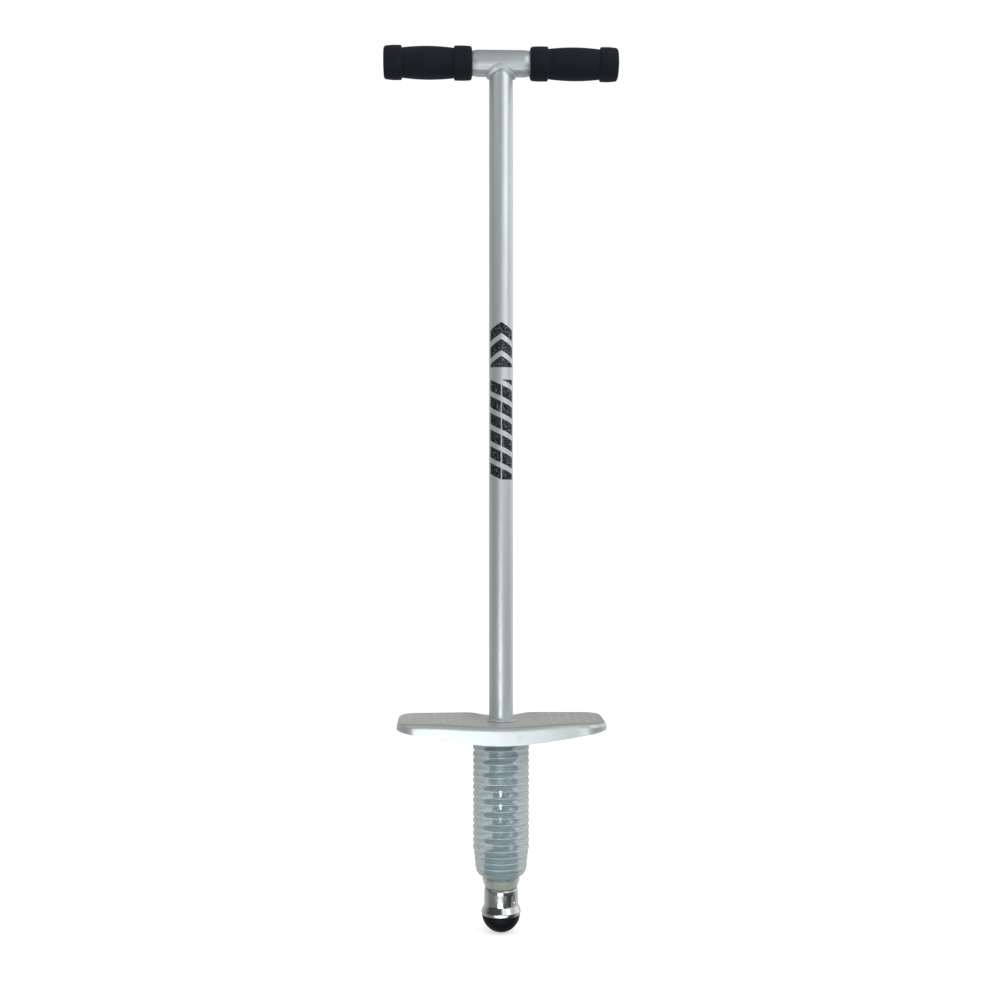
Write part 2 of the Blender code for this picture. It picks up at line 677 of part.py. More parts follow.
stem_r = PLUNGER_R - PLUNGER_WALL - GAP
slider_profile = [
    (0.0, PLUNGER_TOP_Z - 0.0130),
    (stem_r - 0.0008, PLUNGER_TOP_Z - 0.0130),
    (stem_r, PLUNGER_TOP_Z - 0.0115),
    (stem_r, PLUNGER_TOP_Z + GAP),
    (TUBE_BORE_R - SLIDE_GAP, PLUNGER_TOP_Z + GAP),
    (TUBE_BORE_R - SLIDE_GAP, PLUNGER_TOP_Z + 0.0070),
    (TUBE_BORE_R - SLIDE_GAP - 0.0010, PLUNGER_TOP_Z + 0.0080),
    (0.0, PLUNGER_TOP_Z + 0.0080),
]
plunger_slider = lathe("plunger_slider", slider_profile, plunger, slider_nylon, ring=False)

seat_profile = [
    (PLUNGER_R + GAP, SEAT_Z),
    (SEAT_R - 0.0006, SEAT_Z),
    (SEAT_R, SEAT_Z + 0.0010),
    (SEAT_R, SEAT_Z + SEAT_HEIGHT),
    (PLUNGER_R + GAP, SEAT_Z + SEAT_HEIGHT),
]
lower_spring_seat = lathe("lower_spring_seat", seat_profile, plunger, seat_plastic)

ferrule_profile = [(PLUNGER_R + GAP, FERRULE_SHOULDER_Z), (PLUNGER_R + GAP, FERRULE_TOP_Z)]
ferrule_profile += round_corner(FERRULE_R - 0.0020, FERRULE_TOP_Z, FERRULE_R, FERRULE_TOP_Z - 0.0045)
ferrule_profile += [
    (FERRULE_R, BEAD_Z + 0.0100),
    (FERRULE_R + 0.0004, BEAD_Z + 0.0066),
    (FERRULE_R + 0.0013, BEAD_Z + 0.0044),
    (BEAD_R - 0.0006, BEAD_Z + 0.0022),
    (BEAD_R, BEAD_Z),
    (BEAD_R - 0.0003, FERRULE_LIP_Z + 0.0004),
    (BEAD_R - 0.0008, FERRULE_LIP_Z),
    (BEAD_R - 0.0013, FERRULE_LIP_Z),
    (CAVITY_R, FERRULE_SHOULDER_Z - TIP_WASHER_THICKNESS - 0.0012),
    (CAVITY_R, FERRULE_SHOULDER_Z),
]
foot_ferrule = lathe("foot_ferrule", ferrule_profile, plunger, ferrule_chrome)
cut(foot_ferrule, foot_pin_space)

foot_pin_half = FERRULE_R - 0.0004
foot_pin_profile = [
    (0.0, -foot_pin_half),
    (FOOT_PIN_R - 0.0004, -foot_pin_half),
    (FOOT_PIN_R, -foot_pin_half + 0.0004),
    (FOOT_PIN_R, foot_pin_half - 0.0004),
    (FOOT_PIN_R - 0.0004, foot_pin_half),
    (0.0, foot_pin_half),
]
foot_pin = lathe("foot_pin", foot_pin_profile, plunger, foot_pin_steel, segments=16, ring=False)
foot_pin.rotation_euler = foot_pin_heading.to_euler()
foot_pin.location = (0.0, 0.0, FOOT_PIN_Z)

washer_top = FERRULE_SHOULDER_Z - GAP
tip_washer_profile = [
    (0.0, washer_top - TIP_WASHER_THICKNESS),
    (CAVITY_R - GAP, washer_top - TIP_WASHER_THICKNESS),
    (CAVITY_R - GAP, washer_top),
    (0.0, washer_top),
]
tip_washer = lathe("tip_washer", tip_washer_profile, plunger, tip_washer_steel, ring=False)

rubber_top = washer_top - TIP_WASHER_THICKNESS - GAP
rubber_profile = [(0.0, 0.0)]
for k in range(1, 9):
    fall = math.radians(85.0 * k / 8)
    rubber_profile.append((TIP_R * math.sin(fall), TIP_R * (1.0 - math.cos(fall))))
rubber_profile += [
    (BEAD_R - 0.0017, FERRULE_LIP_Z - 0.0003),
    (CAVITY_R - 0.0004, rubber_top - 0.0006),
    (CAVITY_R - 0.0010, rubber_top),
    (0.0, rubber_top),
]
rubber_tip = lathe("rubber_tip", rubber_profile, plunger, tip_rubber, ring=False)
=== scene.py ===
# %% [markdown]
# # Finishing a pogo stick
#
# The working model of the stick is already made: every solid piece has its size, its place and
# its joint. This lesson gives each piece the shape and the finish that the real one shows.
# Nothing moves or changes size. A plain solid stays where it is, hidden, and a finer piece
# is made over the same box.

# %% Load the frame
import json
import math

import bmesh
import bpy
from mathutils import Matrix, Vector


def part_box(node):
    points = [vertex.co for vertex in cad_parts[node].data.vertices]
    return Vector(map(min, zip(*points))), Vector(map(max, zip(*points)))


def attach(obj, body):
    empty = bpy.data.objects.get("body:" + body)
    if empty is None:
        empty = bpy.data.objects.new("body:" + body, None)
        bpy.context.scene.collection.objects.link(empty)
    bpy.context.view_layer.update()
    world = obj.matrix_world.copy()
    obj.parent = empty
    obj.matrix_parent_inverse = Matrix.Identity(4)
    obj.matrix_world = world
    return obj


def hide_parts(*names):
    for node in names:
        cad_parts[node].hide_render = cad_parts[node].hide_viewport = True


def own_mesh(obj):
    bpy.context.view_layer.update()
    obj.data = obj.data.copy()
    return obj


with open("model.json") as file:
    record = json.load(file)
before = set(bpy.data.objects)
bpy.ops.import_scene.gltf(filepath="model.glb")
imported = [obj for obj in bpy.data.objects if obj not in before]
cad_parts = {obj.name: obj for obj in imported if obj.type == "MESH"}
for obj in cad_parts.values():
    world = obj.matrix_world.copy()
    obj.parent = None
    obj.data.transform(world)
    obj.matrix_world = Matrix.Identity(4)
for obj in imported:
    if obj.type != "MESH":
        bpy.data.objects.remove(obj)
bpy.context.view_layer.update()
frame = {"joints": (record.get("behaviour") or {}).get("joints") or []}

# %% [markdown]
# ## Reading sizes from the frame
#
# Most pieces of a pogo stick are turned or drawn round one upright axis, so a piece's box gives
# its radius and its two heights. Reading them here, and not typing them again, keeps the finer
# pieces on the same sizes as the solids.

# %% Sizes
MM = 0.001
GAP = 0.3 * MM


def heights(node):
    """The lowest and highest point of a node."""
    low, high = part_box(node)
    return low[2], high[2]


def radius(node):
    """The radius of a node that is round about the upright axis."""
    low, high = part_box(node)
    return 0.5 * (high[0] - low[0])


def upright(node):
    """The radius, the lowest and the highest point of a round node that stands."""
    return radius(node), *heights(node)


def lying(node):
    """The height of the axis, and the radius, of a round node that lies on its side."""
    low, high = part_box(node)
    return 0.5 * (high[2] + low[2]), 0.5 * (high[2] - low[2])


travel = max(frame["joints"][0]["range_m"])
tube_r, mouth_z, tube_top_z = upright("main_tube")
tube_wall = 1.5 * MM
tube_bore_r = tube_r - tube_wall
bar_z, bar_r = lying("crossbar")
bar_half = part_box("crossbar")[1][0]
plate_low, plate_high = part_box("footplate")
print("tube radius", round(tube_r, 5), "bar axis", round(bar_z, 4), "travel", travel)

# %% [markdown]
# ## Writing materials as sums
#
# A procedural finish is arithmetic on the place of a point: a band is a comparison, a scratch is
# a threshold on noise. One small class lets that be written as Python sums. Each sum adds its own
# Math node, so what is read here is what the node tree does.


# %% A value in a node tree
class Value:
    """The output of a node, which can be used in sums with numbers and other values."""

    def __init__(self, finish, socket):
        self.finish = finish
        self.socket = socket

    def maths(self, operation, *others):
        inputs = {k: value for k, value in enumerate((self, *others))}
        return self.finish.add("ShaderNodeMath", {"operation": operation}, inputs)

    def __add__(self, other):
        return self.maths("ADD", other)

    __radd__ = __add__

    def __sub__(self, other):
        return self.maths("SUBTRACT", other)

    def __rsub__(self, other):
        return (self * -1.0) + other

    def __mul__(self, other):
        return self.maths("MULTIPLY", other)

    __rmul__ = __mul__

    def __truediv__(self, other):
        return self.maths("DIVIDE", other)

    def __gt__(self, other):
        return self.maths("GREATER_THAN", other)

    def __lt__(self, other):
        return self.maths("LESS_THAN", other)

    def __abs__(self):
        return self.maths("ABSOLUTE")

    def part(self):
        """What is left after the whole number."""
        return self.maths("FRACT")

    def ramp(self, low, high):
        """0 at low, 1 at high, and straight between."""
        inputs = {"Value": self, "From Min": low, "From Max": high}
        return self.finish.add("ShaderNodeMapRange", {"clamp": True}, inputs)


print("a value knows the sums", [name for name in vars(Value) if name.startswith("__")])

# %% [markdown]
# A finish is one material with one shader. Values that are the same all over are set on the
# shader's sockets, and what changes from place to place is fed in as a link. Object coordinates
# are in metres here, since every piece sits at the origin, so a scale of 1000 gives features
# about a millimetre across.


# %% A node tree and a finish
class Nodes:
    """A node tree, and the one method that adds nodes to it."""

    def __init__(self, tree):
        self.tree = tree

    def add(self, kind, settings=None, inputs=None, out=0):
        """Add a node, set its settings, then its inputs, and give one of its outputs."""
        node = self.tree.nodes.new(kind)
        for name, value in (settings or {}).items():
            setattr(node, name, value)
        for name, value in (inputs or {}).items():
            if isinstance(value, Value):
                self.tree.links.new(value.socket, node.inputs[name])
            else:
                node.inputs[name].default_value = value
        return Value(self, node.outputs[out])

    def parts(self, vector):
        """The x, y and z of a vector."""
        node = self.add("ShaderNodeSeparateXYZ", None, {0: vector}).socket.node
        return [Value(self, output) for output in node.outputs]


class Finish(Nodes):
    """A material with one Principled shader, and the patterns that finishes are made from."""

    def __init__(self, name, colour, **even):
        self.material = bpy.data.materials.new(name)
        self.material.use_nodes = True
        super().__init__(self.material.node_tree)
        self.shader = self.tree.nodes["Principled BSDF"]
        self.shader.inputs["Base Color"].default_value = (*colour, 1.0)
        self.material.diffuse_color = (*colour, 1.0)
        for socket, value in even.items():
            label = socket.replace("_", " ").title().replace("Ior", "IOR")
            self.shader.inputs[label].default_value = value
        self.place = self.add("ShaderNodeTexCoord", out="Object")

    def axes(self):
        """The x, y and z of the place."""
        return self.parts(self.place)

    def stretched(self, scale):
        """The place, scaled differently along x, y and z."""
        return self.add("ShaderNodeMapping", None, {"Vector": self.place, "Scale": scale})

    def noise(self, scale, detail=2.0, rough=0.5, place=None):
        inputs = {"Vector": place or self.place, "Scale": scale}
        inputs.update({"Detail": detail, "Roughness": rough})
        return self.add("ShaderNodeTexNoise", None, inputs, out="Fac")

    def cells(self, scale):
        """Distance from the middle of the nearest cell."""
        inputs = {"Vector": self.place, "Scale": scale}
        return self.add("ShaderNodeTexVoronoi", None, inputs, out="Distance")

    def blend(self, share, first, second):
        """Colours mixed by a share from 0, the first, to 1, the second."""
        inputs = {"Factor": share}
        for key, colour in ((6, first), (7, second)):
            inputs[key] = colour if isinstance(colour, Value) else (*colour, 1.0)
        return self.add("ShaderNodeMix", {"data_type": "RGBA"}, inputs, out=2)

    def feed(self, socket, value):
        self.tree.links.new(value.socket, self.shader.inputs[socket])

    def colours(self, share, first, second):
        """Colour the finish with a blend."""
        self.feed("Base Color", self.blend(share, first, second))

    def bump(self, height, depth, strength):
        """Relief of a height from 0 to 1, depth metres deep."""
        inputs = {"Height": height, "Distance": depth, "Strength": strength}
        self.feed("Normal", self.add("ShaderNodeBump", None, inputs, out="Normal"))


print("a finish can do", [name for name in vars(Finish) if not name.startswith("_")])

# %% [markdown]
# ## Drawing a section with round corners
#
# A turned piece is a section spun about an axis. Real sections have no sharp corners: a radius is
# left by the tool, the press or the mould, and it is what catches the light. So each corner here
# carries its own radius, and the arc is worked out from the two lines that meet there.


# %% Rounded sections
def rounded(corners, ring=True, fineness=5):
    """Points of an outline: (radius from axis, height, corner radius in millimetres)."""
    points = []
    count = len(corners)
    for k, (r, z, size) in enumerate(corners):
        here = Vector((r, z))
        corner = size * MM
        if corner == 0.0 or (not ring and k in (0, count - 1)):
            points.append(here)
            continue
        back = (Vector(corners[k - 1][:2]) - here).normalized()
        on = (Vector(corners[(k + 1) % count][:2]) - here).normalized()
        half = 0.5 * back.angle(on)
        centre = here + (back + on).normalized() * (corner / math.sin(half))
        start = here + back * (corner / math.tan(half)) - centre
        end = here + on * (corner / math.tan(half)) - centre
        sweep = start.angle_signed(end)
        steps = max(2, round(fineness * abs(sweep) / (0.5 * math.pi)))
        for step in range(steps + 1):
            points.append(centre + Matrix.Rotation(-sweep * step / steps, 2) @ start)
    return points


corner_test = rounded([(0.0, 0.0, 0.0), (1.0, 0.0, 2.0), (1.0, 1.0, 0.0)], ring=False)
print("a rounded corner has", len(corner_test), "points")

# %% [markdown]
# ## Spinning it
#
# The section is joined into an edge chain and spun a full turn. The ends of the spin are merged,
# points on the axis are drawn together, and the faces are then turned to look outwards, because a
# spin can leave them either way round. The finished piece stays at the origin.


# %% Turned pieces
ALONG_X = Matrix.Rotation(0.5 * math.pi, 4, "Y")


def new_object(name, data):
    made = bpy.data.objects.new(name, data)
    bpy.context.scene.collection.objects.link(made)
    return made


def piece(name, bm, finish):
    """Make a bmesh into an object at the origin."""
    for face in bm.faces:
        face.smooth = True
    mesh = bpy.data.meshes.new(name)
    bm.to_mesh(mesh)
    bm.free()
    mesh.materials.append(finish.material)
    return new_object(name, mesh)


def spin_round(bm, geom, steps):
    """Spin lines a full turn about the upright axis, and close the seam and the poles."""
    full = 2.0 * math.pi
    bmesh.ops.spin(bm, geom=geom, cent=(0, 0, 0), axis=(0, 0, 1), angle=full, steps=steps, use_merge=True)
    bmesh.ops.remove_doubles(bm, verts=bm.verts, dist=1e-7)


def spun(section, steps, ring=True):
    """A bmesh of the section spun about the upright axis."""
    bm = bmesh.new()
    verts = [bm.verts.new((p[0], 0.0, p[1])) for p in section]
    edges = [bm.edges.new(pair) for pair in zip(verts, verts[1:])]
    if ring:
        edges.append(bm.edges.new((verts[-1], verts[0])))
    spin_round(bm, verts + edges, steps)
    bmesh.ops.recalc_face_normals(bm, faces=bm.faces)
    return bm


def lying_at(z):
    """Where a piece goes that lies along the handle, z up."""
    return Matrix.Translation((0.0, 0.0, z)) @ ALONG_X


def turned(name, corners, finish, steps, ring=True, fineness=5, place=None):
    bm = spun(rounded(corners, ring, fineness), steps, ring)
    if place is not None:
        bmesh.ops.transform(bm, matrix=place, verts=bm.verts)
        bmesh.ops.recalc_face_normals(bm, faces=bm.faces)
    return piece(name, bm, finish)


def fitted(made, body, node):
    """Hide the solid that a piece stands for, and hang the piece on the body that carries it."""
    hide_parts(node)
    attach(made, body)
    print(made.name, "stands for", node, "with", len(made.data.polygons), "faces")


# %% [markdown]
# Wall thickness and holes are worked out by modifiers, just as they are cut after a part is
# formed. They are made final at once, so that each piece ends as one plain mesh. The bit that
# cuts a hole is thrown away.


# %% Walls and holes
def final_mesh(made):
    """The mesh that an object gives once its modifiers or its bevel have been worked out."""
    bpy.context.view_layer.update()
    return bpy.data.meshes.new_from_object(made.evaluated_get(bpy.context.evaluated_depsgraph_get()))


def applied(made):
    """Make the piece's modifiers final."""
    mesh = final_mesh(made)
    made.modifiers.clear()
    made.data = mesh


def thickened(made, thickness):
    """Give a sheet its thickness, inwards from the face it has."""
    wall = made.modifiers.new("wall", "SOLIDIFY")
    wall.thickness = thickness
    wall.offset = -1.0
    applied(made)


def cut_away(made, bm):
    """Cut the shape of a bmesh out of a piece."""
    bit = piece("bit", bm, hidden_finish)
    cut = made.modifiers.new("hole", "BOOLEAN")
    cut.operation = "DIFFERENCE"
    cut.solver = "EXACT"
    cut.object = bit
    applied(made)
    bpy.data.objects.remove(bit, do_unlink=True)


def drilled(made, size, length, place):
    """Drill a round hole through a piece."""
    bm = bmesh.new()
    sizes = {"segments": 48, "radius1": size, "radius2": size, "depth": length}
    bmesh.ops.create_cone(bm, cap_ends=True, matrix=place, **sizes)
    cut_away(made, bm)


hidden_finish = Finish("drill_bit", (0.5, 0.5, 0.5))
print("the drill bit has the finish", hidden_finish.material.name)

# %% [markdown]
# ## Silver paint
#
# The frame is sprayed with a satin aluminium paint: fine metal flake under a thin binder. It
# mirrors broad lights softly, and close up it has a slight ripple, like the skin of an orange.
# Flake gives a fine sparkle in the roughness, and the ripple is a shallow bump. Handling leaves
# faint cloudy patches, so the roughness also drifts slowly.

# %% Silver paint
SILVER = (0.585, 0.645, 0.655)
SILVER_DULL = (0.50, 0.555, 0.565)
SHOE_DUST = (0.66, 0.665, 0.585)
FLAKE_SHARE = 0.62  # how much of the paint's face is metal flake
BINDER_COAT = 0.15  # how much the clear binder over the flake shines by itself


def silver_paint(name, dull=0.0, dusty_above=None):
    """Satin silver paint. Dull is how scuffed it is, from 0 to 1; dust lies above a height."""
    finish = Finish(name, SILVER, metallic=FLAKE_SHARE, coat_weight=BINDER_COAT, coat_roughness=0.22)
    clouds = finish.noise(22.0, 3.0, 0.6)
    flake = finish.noise(3200.0, 1.0, 0.5)
    scuffs = finish.noise(90.0, 6.0, 0.75).ramp(0.58, 0.72)
    colour = finish.blend(scuffs * dull + clouds * 0.25, SILVER, SILVER_DULL)
    if dusty_above is not None:
        x, y, z = finish.axes()
        dust = z.ramp(dusty_above - 1.5 * MM, dusty_above + 1.0 * MM) * (clouds * 0.5 + 0.3)
        colour = finish.blend(dust, colour, SHOE_DUST)
    finish.feed("Base Color", colour)
    finish.feed("Roughness", clouds * 0.10 + flake * 0.10 + scuffs * (0.15 * dull) + 0.33)
    ripple = finish.noise(420.0, 2.0, 0.5)
    finish.bump(ripple * 0.7 + flake * 0.3, 0.05 * MM, 0.35)
    return finish


# %% [markdown]
# ## The printed tube
#
# The front of the tube has a bold black print, worn through in specks. It is laid out here as
# plain marks: three chevrons that point up, and under them a run of slanted bars with a stencil
# gap. The print follows the tube, so it is drawn by the distance round the front and the height.

# %% Printed marks
PRINT_TOP_Z = 655.0 * MM
PRINT_GAP_TOP_Z = 601.0 * MM
PRINT_GAP_LOW_Z = 588.0 * MM
PRINT_LOW_Z = 482.0 * MM
PRINT_HALF_WIDTH = 14.2 * MM  # round the tube, from its front line
CHEVRONS = 3
CHEVRON_SLOPE = 0.62
CHEVRON_INKED = 0.66  # the share of each pitch that is black
BARS = 6
BAR_SLOPE = 0.45
BAR_INKED = 0.68
STENCIL_HALF = 0.55 * MM  # half the gap down the middle of the bars
INK = (0.006, 0.009, 0.012)
INK_ROUGHNESS = 0.52


def print_mask(finish):
    """1 where the tube is inked."""
    x, y, z = finish.axes()
    round_front = x.maths("ARCTAN2", y * -1.0) * tube_r
    off = abs(round_front)
    chevron_pitch = (PRINT_TOP_Z - PRINT_GAP_TOP_Z) / CHEVRONS
    folded = z + off * CHEVRON_SLOPE
    upward = (folded - PRINT_GAP_TOP_Z) / chevron_pitch
    chevrons = (upward.part() < CHEVRON_INKED) * (z > PRINT_GAP_TOP_Z) * (folded < PRINT_TOP_Z)
    bar_pitch = (PRINT_GAP_LOW_Z - PRINT_LOW_Z) / BARS
    slanted = (z + round_front * BAR_SLOPE - PRINT_LOW_Z) / bar_pitch
    bars = (slanted.part() < BAR_INKED) * (z > PRINT_LOW_Z) * (z < PRINT_GAP_LOW_Z)
    stencil = off > STENCIL_HALF
    sides = off < PRINT_HALF_WIDTH
    specks = finish.noise(900.0, 4.0, 0.7) < 0.60
    return (chevrons + bars * stencil) * sides * specks


def printed_paint(name):
    finish = silver_paint(name)
    ink = print_mask(finish)
    under = Value(finish, finish.shader.inputs["Base Color"].links[0].from_socket)
    gloss = Value(finish, finish.shader.inputs["Roughness"].links[0].from_socket)
    finish.colours(ink, under, INK)
    finish.feed("Roughness", gloss * (1.0 - ink) + ink * INK_ROUGHNESS)
    finish.feed("Metallic", (1.0 - ink) * FLAKE_SHARE)
    finish.feed("Coat Weight", (1.0 - ink) * BINDER_COAT)
    finish.shader.inputs["Specular IOR Level"].default_value = 0.2
    return finish


tube_paint = printed_paint("printed_silver_paint")
bar_paint = silver_paint("bar_silver_paint")
weld_paint = silver_paint("weld_silver_paint", 0.3)
plate_paint = silver_paint("plate_silver_paint", 0.8, dusty_above=plate_high[2] - 3.5 * MM)
print("silver paints:", tube_paint.material.name, bar_paint.material.name)

# %% [markdown]
# ## The tube
#
# The upright is a length of welded steel tube. Its top is coped: cut to a saddle that sits
# against the round bar. A circle is drawn up into rings, the top ring is brought down to the
# bar's surface, and the sheet is given its wall. A cross hole takes the stop pin.

# %% Make the tube
TUBE_SIDES = 96


def saddle_z(y):
    """Height of the bar's underside over a point at depth y."""
    reach = bar_r + GAP
    return bar_z - math.sqrt(reach * reach - y * y)


def drawn_out(bm, edges):
    """Draw edges out into a new ring, and give the new edges and points."""
    grown = bmesh.ops.extrude_edge_only(bm, edges=edges)["geom"]
    new_edges = [item for item in grown if isinstance(item, bmesh.types.BMEdge)]
    return new_edges, [item for item in grown if isinstance(item, bmesh.types.BMVert)]


bm = bmesh.new()
bmesh.ops.create_circle(bm, segments=TUBE_SIDES, radius=tube_r)
bmesh.ops.translate(bm, verts=bm.verts, vec=(0.0, 0.0, mouth_z))
rim = bm.edges[:]
ring_heights = [mouth_z + 0.3 * MM, mouth_z + 40.0 * MM, 0.5 * (mouth_z + tube_top_z)]
ring_heights += [bar_z - bar_r - 12.0 * MM, bar_z - bar_r - 2.0 * MM, bar_z - bar_r]
for height in ring_heights:
    rim, ring = drawn_out(bm, rim)
    for vert in ring:
        vert.co.z = height
for vert in ring:
    vert.co.z = saddle_z(vert.co.y)
bmesh.ops.recalc_face_normals(bm, faces=bm.faces)
tube = piece("upright_tube", bm, tube_paint)
thickened(tube, tube_wall)
pin_z, pin_r = lying("stop_pin")
drilled(tube, pin_r + GAP, 3.0 * tube_r, lying_at(pin_z))
fitted(tube, "frame", "main_tube")

# %% [markdown]
# ## The crossbar
#
# The bar is a fatter tube, and its ends are swaged: squeezed down in a die so that the grips
# slide on. The shoulder just shows at each grip. It is spun about the upright axis and then laid
# along the handle.

# %% Make the crossbar
BAR_FULL_HALF = 26.5 * MM
BAR_END_R = 11.1 * MM
BAR_WALL = 1.5 * MM
bore_r = BAR_END_R - BAR_WALL
half_section = [
    (bar_r, BAR_FULL_HALF - 1.5 * MM, 9.0),
    (bar_r - 1.1 * MM, BAR_FULL_HALF + 4.4 * MM, 4.0),
    (BAR_END_R, BAR_FULL_HALF + 7.5 * MM, 1.5),
    (BAR_END_R, bar_half, 0.4),
    (bore_r, bar_half, 0.4),
    (bore_r, BAR_FULL_HALF + 7.0 * MM, 2.0),
    (bar_r - BAR_WALL, BAR_FULL_HALF - 1.0 * MM, 2.0),
]
mirrored = [(r, -z, corner) for r, z, corner in reversed(half_section)]
bar = turned("crossbar_tube", half_section + mirrored, bar_paint, 96, place=lying_at(bar_z))
fitted(bar, "frame", "crossbar")

# %% [markdown]
# ## Fillet welds
#
# A weld round a tube is a string of overlapping puddles, laid as the torch moves on. It fills the
# corner between two surfaces, so its section is a bent triangle: one toe runs out along the first
# surface, the other down the tube, and the face between them is a little full. A ring is spun
# from a circle, and each point of the circle is then moved to its place on that section. Paint
# softens the ripples, so they stay low.


# %% A weld round the tube
def weld(name, puddles, root, toe_out, toe_on):
    """A weld whose root and two toes are given by a heading round the tube."""
    bm = bmesh.new()
    place = Matrix.Translation((tube_r, 0.0, 0.0)) @ Matrix.Rotation(0.5 * math.pi, 4, "X")
    bmesh.ops.create_circle(bm, segments=20, radius=1.0 * MM, matrix=place)
    spin_round(bm, bm.verts[:] + bm.edges[:], 240)
    for vert in bm.verts:
        heading = math.atan2(vert.co.y, vert.co.x)
        round_section = math.atan2(vert.co.z, vert.co.xy.length - tube_r)
        puddle = abs(math.sin(0.5 * puddles * heading + 0.35 * math.sin(3.0 * heading)))
        wander = 0.12 * math.sin(5.0 * heading + 1.0) + 0.09 * math.sin(11.0 * heading)
        swell = 0.76 + 0.42 * puddle + wander
        inner, high, low = root(heading), toe_out(heading), toe_on(heading)
        middle = (high + low) * 0.5
        along = (high - low) * 0.5 * math.sin(round_section)
        across = math.cos(round_section)
        if across > 0.0:
            outward = (middle - inner) * (0.42 * swell) * across
        else:
            outward = (inner - middle) * (-0.9 * across)
        vert.co = middle + along + outward
    bmesh.ops.recalc_face_normals(bm, faces=bm.faces)
    return piece(name, bm, weld_paint)


def tube_point(heading, out, z):
    reach = tube_r + out
    return Vector((reach * math.cos(heading), reach * math.sin(heading), z))


print("a point on the tube's front:", [round(part, 4) for part in tube_point(-0.5 * math.pi, 0.0, 0.0)])

# %% [markdown]
# The upper weld follows the saddle under the bar, and the lower one the ring where the tube
# goes through the plate. A heading round the tube is all that either needs: its root is in the
# corner, and each toe is a leg's length out along one of the two surfaces.


# %% Lay the welds
WELD_ON_BAR = 2.9 * MM
WELD_ON_TUBE = 2.4 * MM


def bar_toe(heading):
    """The toe on the bar: the joint's outline on the unrolled bar, grown by the weld's leg."""
    joint_round = bar_r * math.asin(tube_r / bar_r)
    round_bar = (joint_round + WELD_ON_BAR) * math.sin(heading) / bar_r
    x = (tube_r + WELD_ON_BAR) * math.cos(heading)
    out = bar_r + 0.15 * MM
    return Vector((x, out * math.sin(round_bar), bar_z - out * math.cos(round_bar)))


def joint_z(heading):
    return saddle_z(tube_r * math.sin(heading))


top_weld = weld(
    "handle_fillet_weld",
    46,
    lambda heading: tube_point(heading, -0.2 * MM, joint_z(heading)),
    bar_toe,
    lambda heading: tube_point(heading, 0.1 * MM, joint_z(heading) - WELD_ON_TUBE),
)
fitted(top_weld, "frame", "handle_weld")
plate_weld_low = heights("footplate_weld")[0]


def plate_leg(heading):
    """The lower weld's leg, which wanders as the torch is moved by hand."""
    return (2.35 + 0.45 * math.sin(3.0 * heading + 2.0) + 0.35 * math.sin(8.0 * heading)) * MM


low_weld = weld(
    "footplate_fillet_weld",
    52,
    lambda heading: tube_point(heading, 0.1 * MM, plate_weld_low),
    lambda heading: tube_point(heading, 0.1 * MM, plate_weld_low + plate_leg(heading)),
    lambda heading: tube_point(heading, plate_leg(heading + 0.5), plate_weld_low + 0.1 * MM),
)
fitted(low_weld, "frame", "footplate_weld")

# %% [markdown]
# ## Foam grips
#
# The grips are moulded closed-cell foam, slid on wet over the bar. Each has a flange at both ends
# and a crowned barrel between, so a hand can't slide off. Foam never holds a crisp edge: every
# corner is rolled, and the skin is full of tiny closed bubbles. The section has its radii drawn
# in, and the barrel's swell is a sine.

# %% Foam
FOAM = (0.0038, 0.0062, 0.0125)
FOAM_RUBBED = (0.0065, 0.0095, 0.0175)


def foam(name):
    finish = Finish(name, FOAM, sheen_weight=0.04, sheen_roughness=0.6, specular_ior_level=0.22)
    bubbles = finish.cells(1500.0)
    fine = finish.noise(2600.0, 3.0, 0.6)
    worn = finish.noise(40.0, 4.0, 0.6)
    finish.colours(worn.ramp(0.35, 0.75), FOAM, FOAM_RUBBED)
    finish.feed("Roughness", worn * 0.12 + fine * 0.10 + 0.66)
    finish.bump(bubbles * 0.55 + fine * 0.45, 0.22 * MM, 0.6)
    return finish


GRIP_ROLL = 3.2  # millimetres, as all corner radii
grip_r = lying("grip_right")[1]
grip_in, grip_out = (corner[0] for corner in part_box("grip_right"))
grip_long = grip_out - grip_in
FLANGE_LONG = 18.6 * MM
NECK_DROP = 2.45 * MM
CROWN_DROP = 0.75 * MM
grip_bore = BAR_END_R + GAP


def grip_corners():
    """The grip's section from its inner end, at height 0, to its outer end."""
    neck = grip_r - NECK_DROP
    step_in = FLANGE_LONG
    step_out = grip_long - FLANGE_LONG
    corners = [(grip_bore + 2.4 * MM, 0.0, 0.6), (grip_r - 0.5 * MM, 0.0, GRIP_ROLL)]
    corners += [(grip_r, 9.0 * MM, 12.0), (grip_r - 0.15 * MM, step_in, 1.0)]
    corners.append((neck - 0.1 * MM, step_in + 0.9 * MM, 0.8))
    barrel = step_out - step_in
    for k in range(2, 23):
        share = k / 24
        swell = (NECK_DROP - CROWN_DROP) * math.sin(math.pi * share)
        corners.append((neck + swell, step_in + barrel * share, 0.0))
    corners.append((neck - 0.1 * MM, step_out - 0.9 * MM, 0.8))
    corners += [(grip_r - 0.15 * MM, step_out, 1.0), (grip_r, grip_long - 10.0 * MM, 12.0)]
    corners += [(grip_r - 1.0 * MM, grip_long, GRIP_ROLL), (grip_bore, grip_long, 1.2)]
    corners.append((grip_bore, 4.5 * MM, 0.0))
    return corners


def on_bar(side, x):
    """Where a piece goes that lies along the bar, x out on the side +1 or -1."""
    return Matrix.Translation((side * x, 0.0, bar_z)) @ Matrix.Rotation(side * 0.5 * math.pi, 4, "Y")


def grip(name, side, node):
    made = turned(name, grip_corners(), foam(name + "_foam"), 96, place=on_bar(side, grip_in))
    fitted(made, "frame", node)


grip("foam_grip_left", -1.0, "grip_left")
grip("foam_grip_right", 1.0, "grip_right")

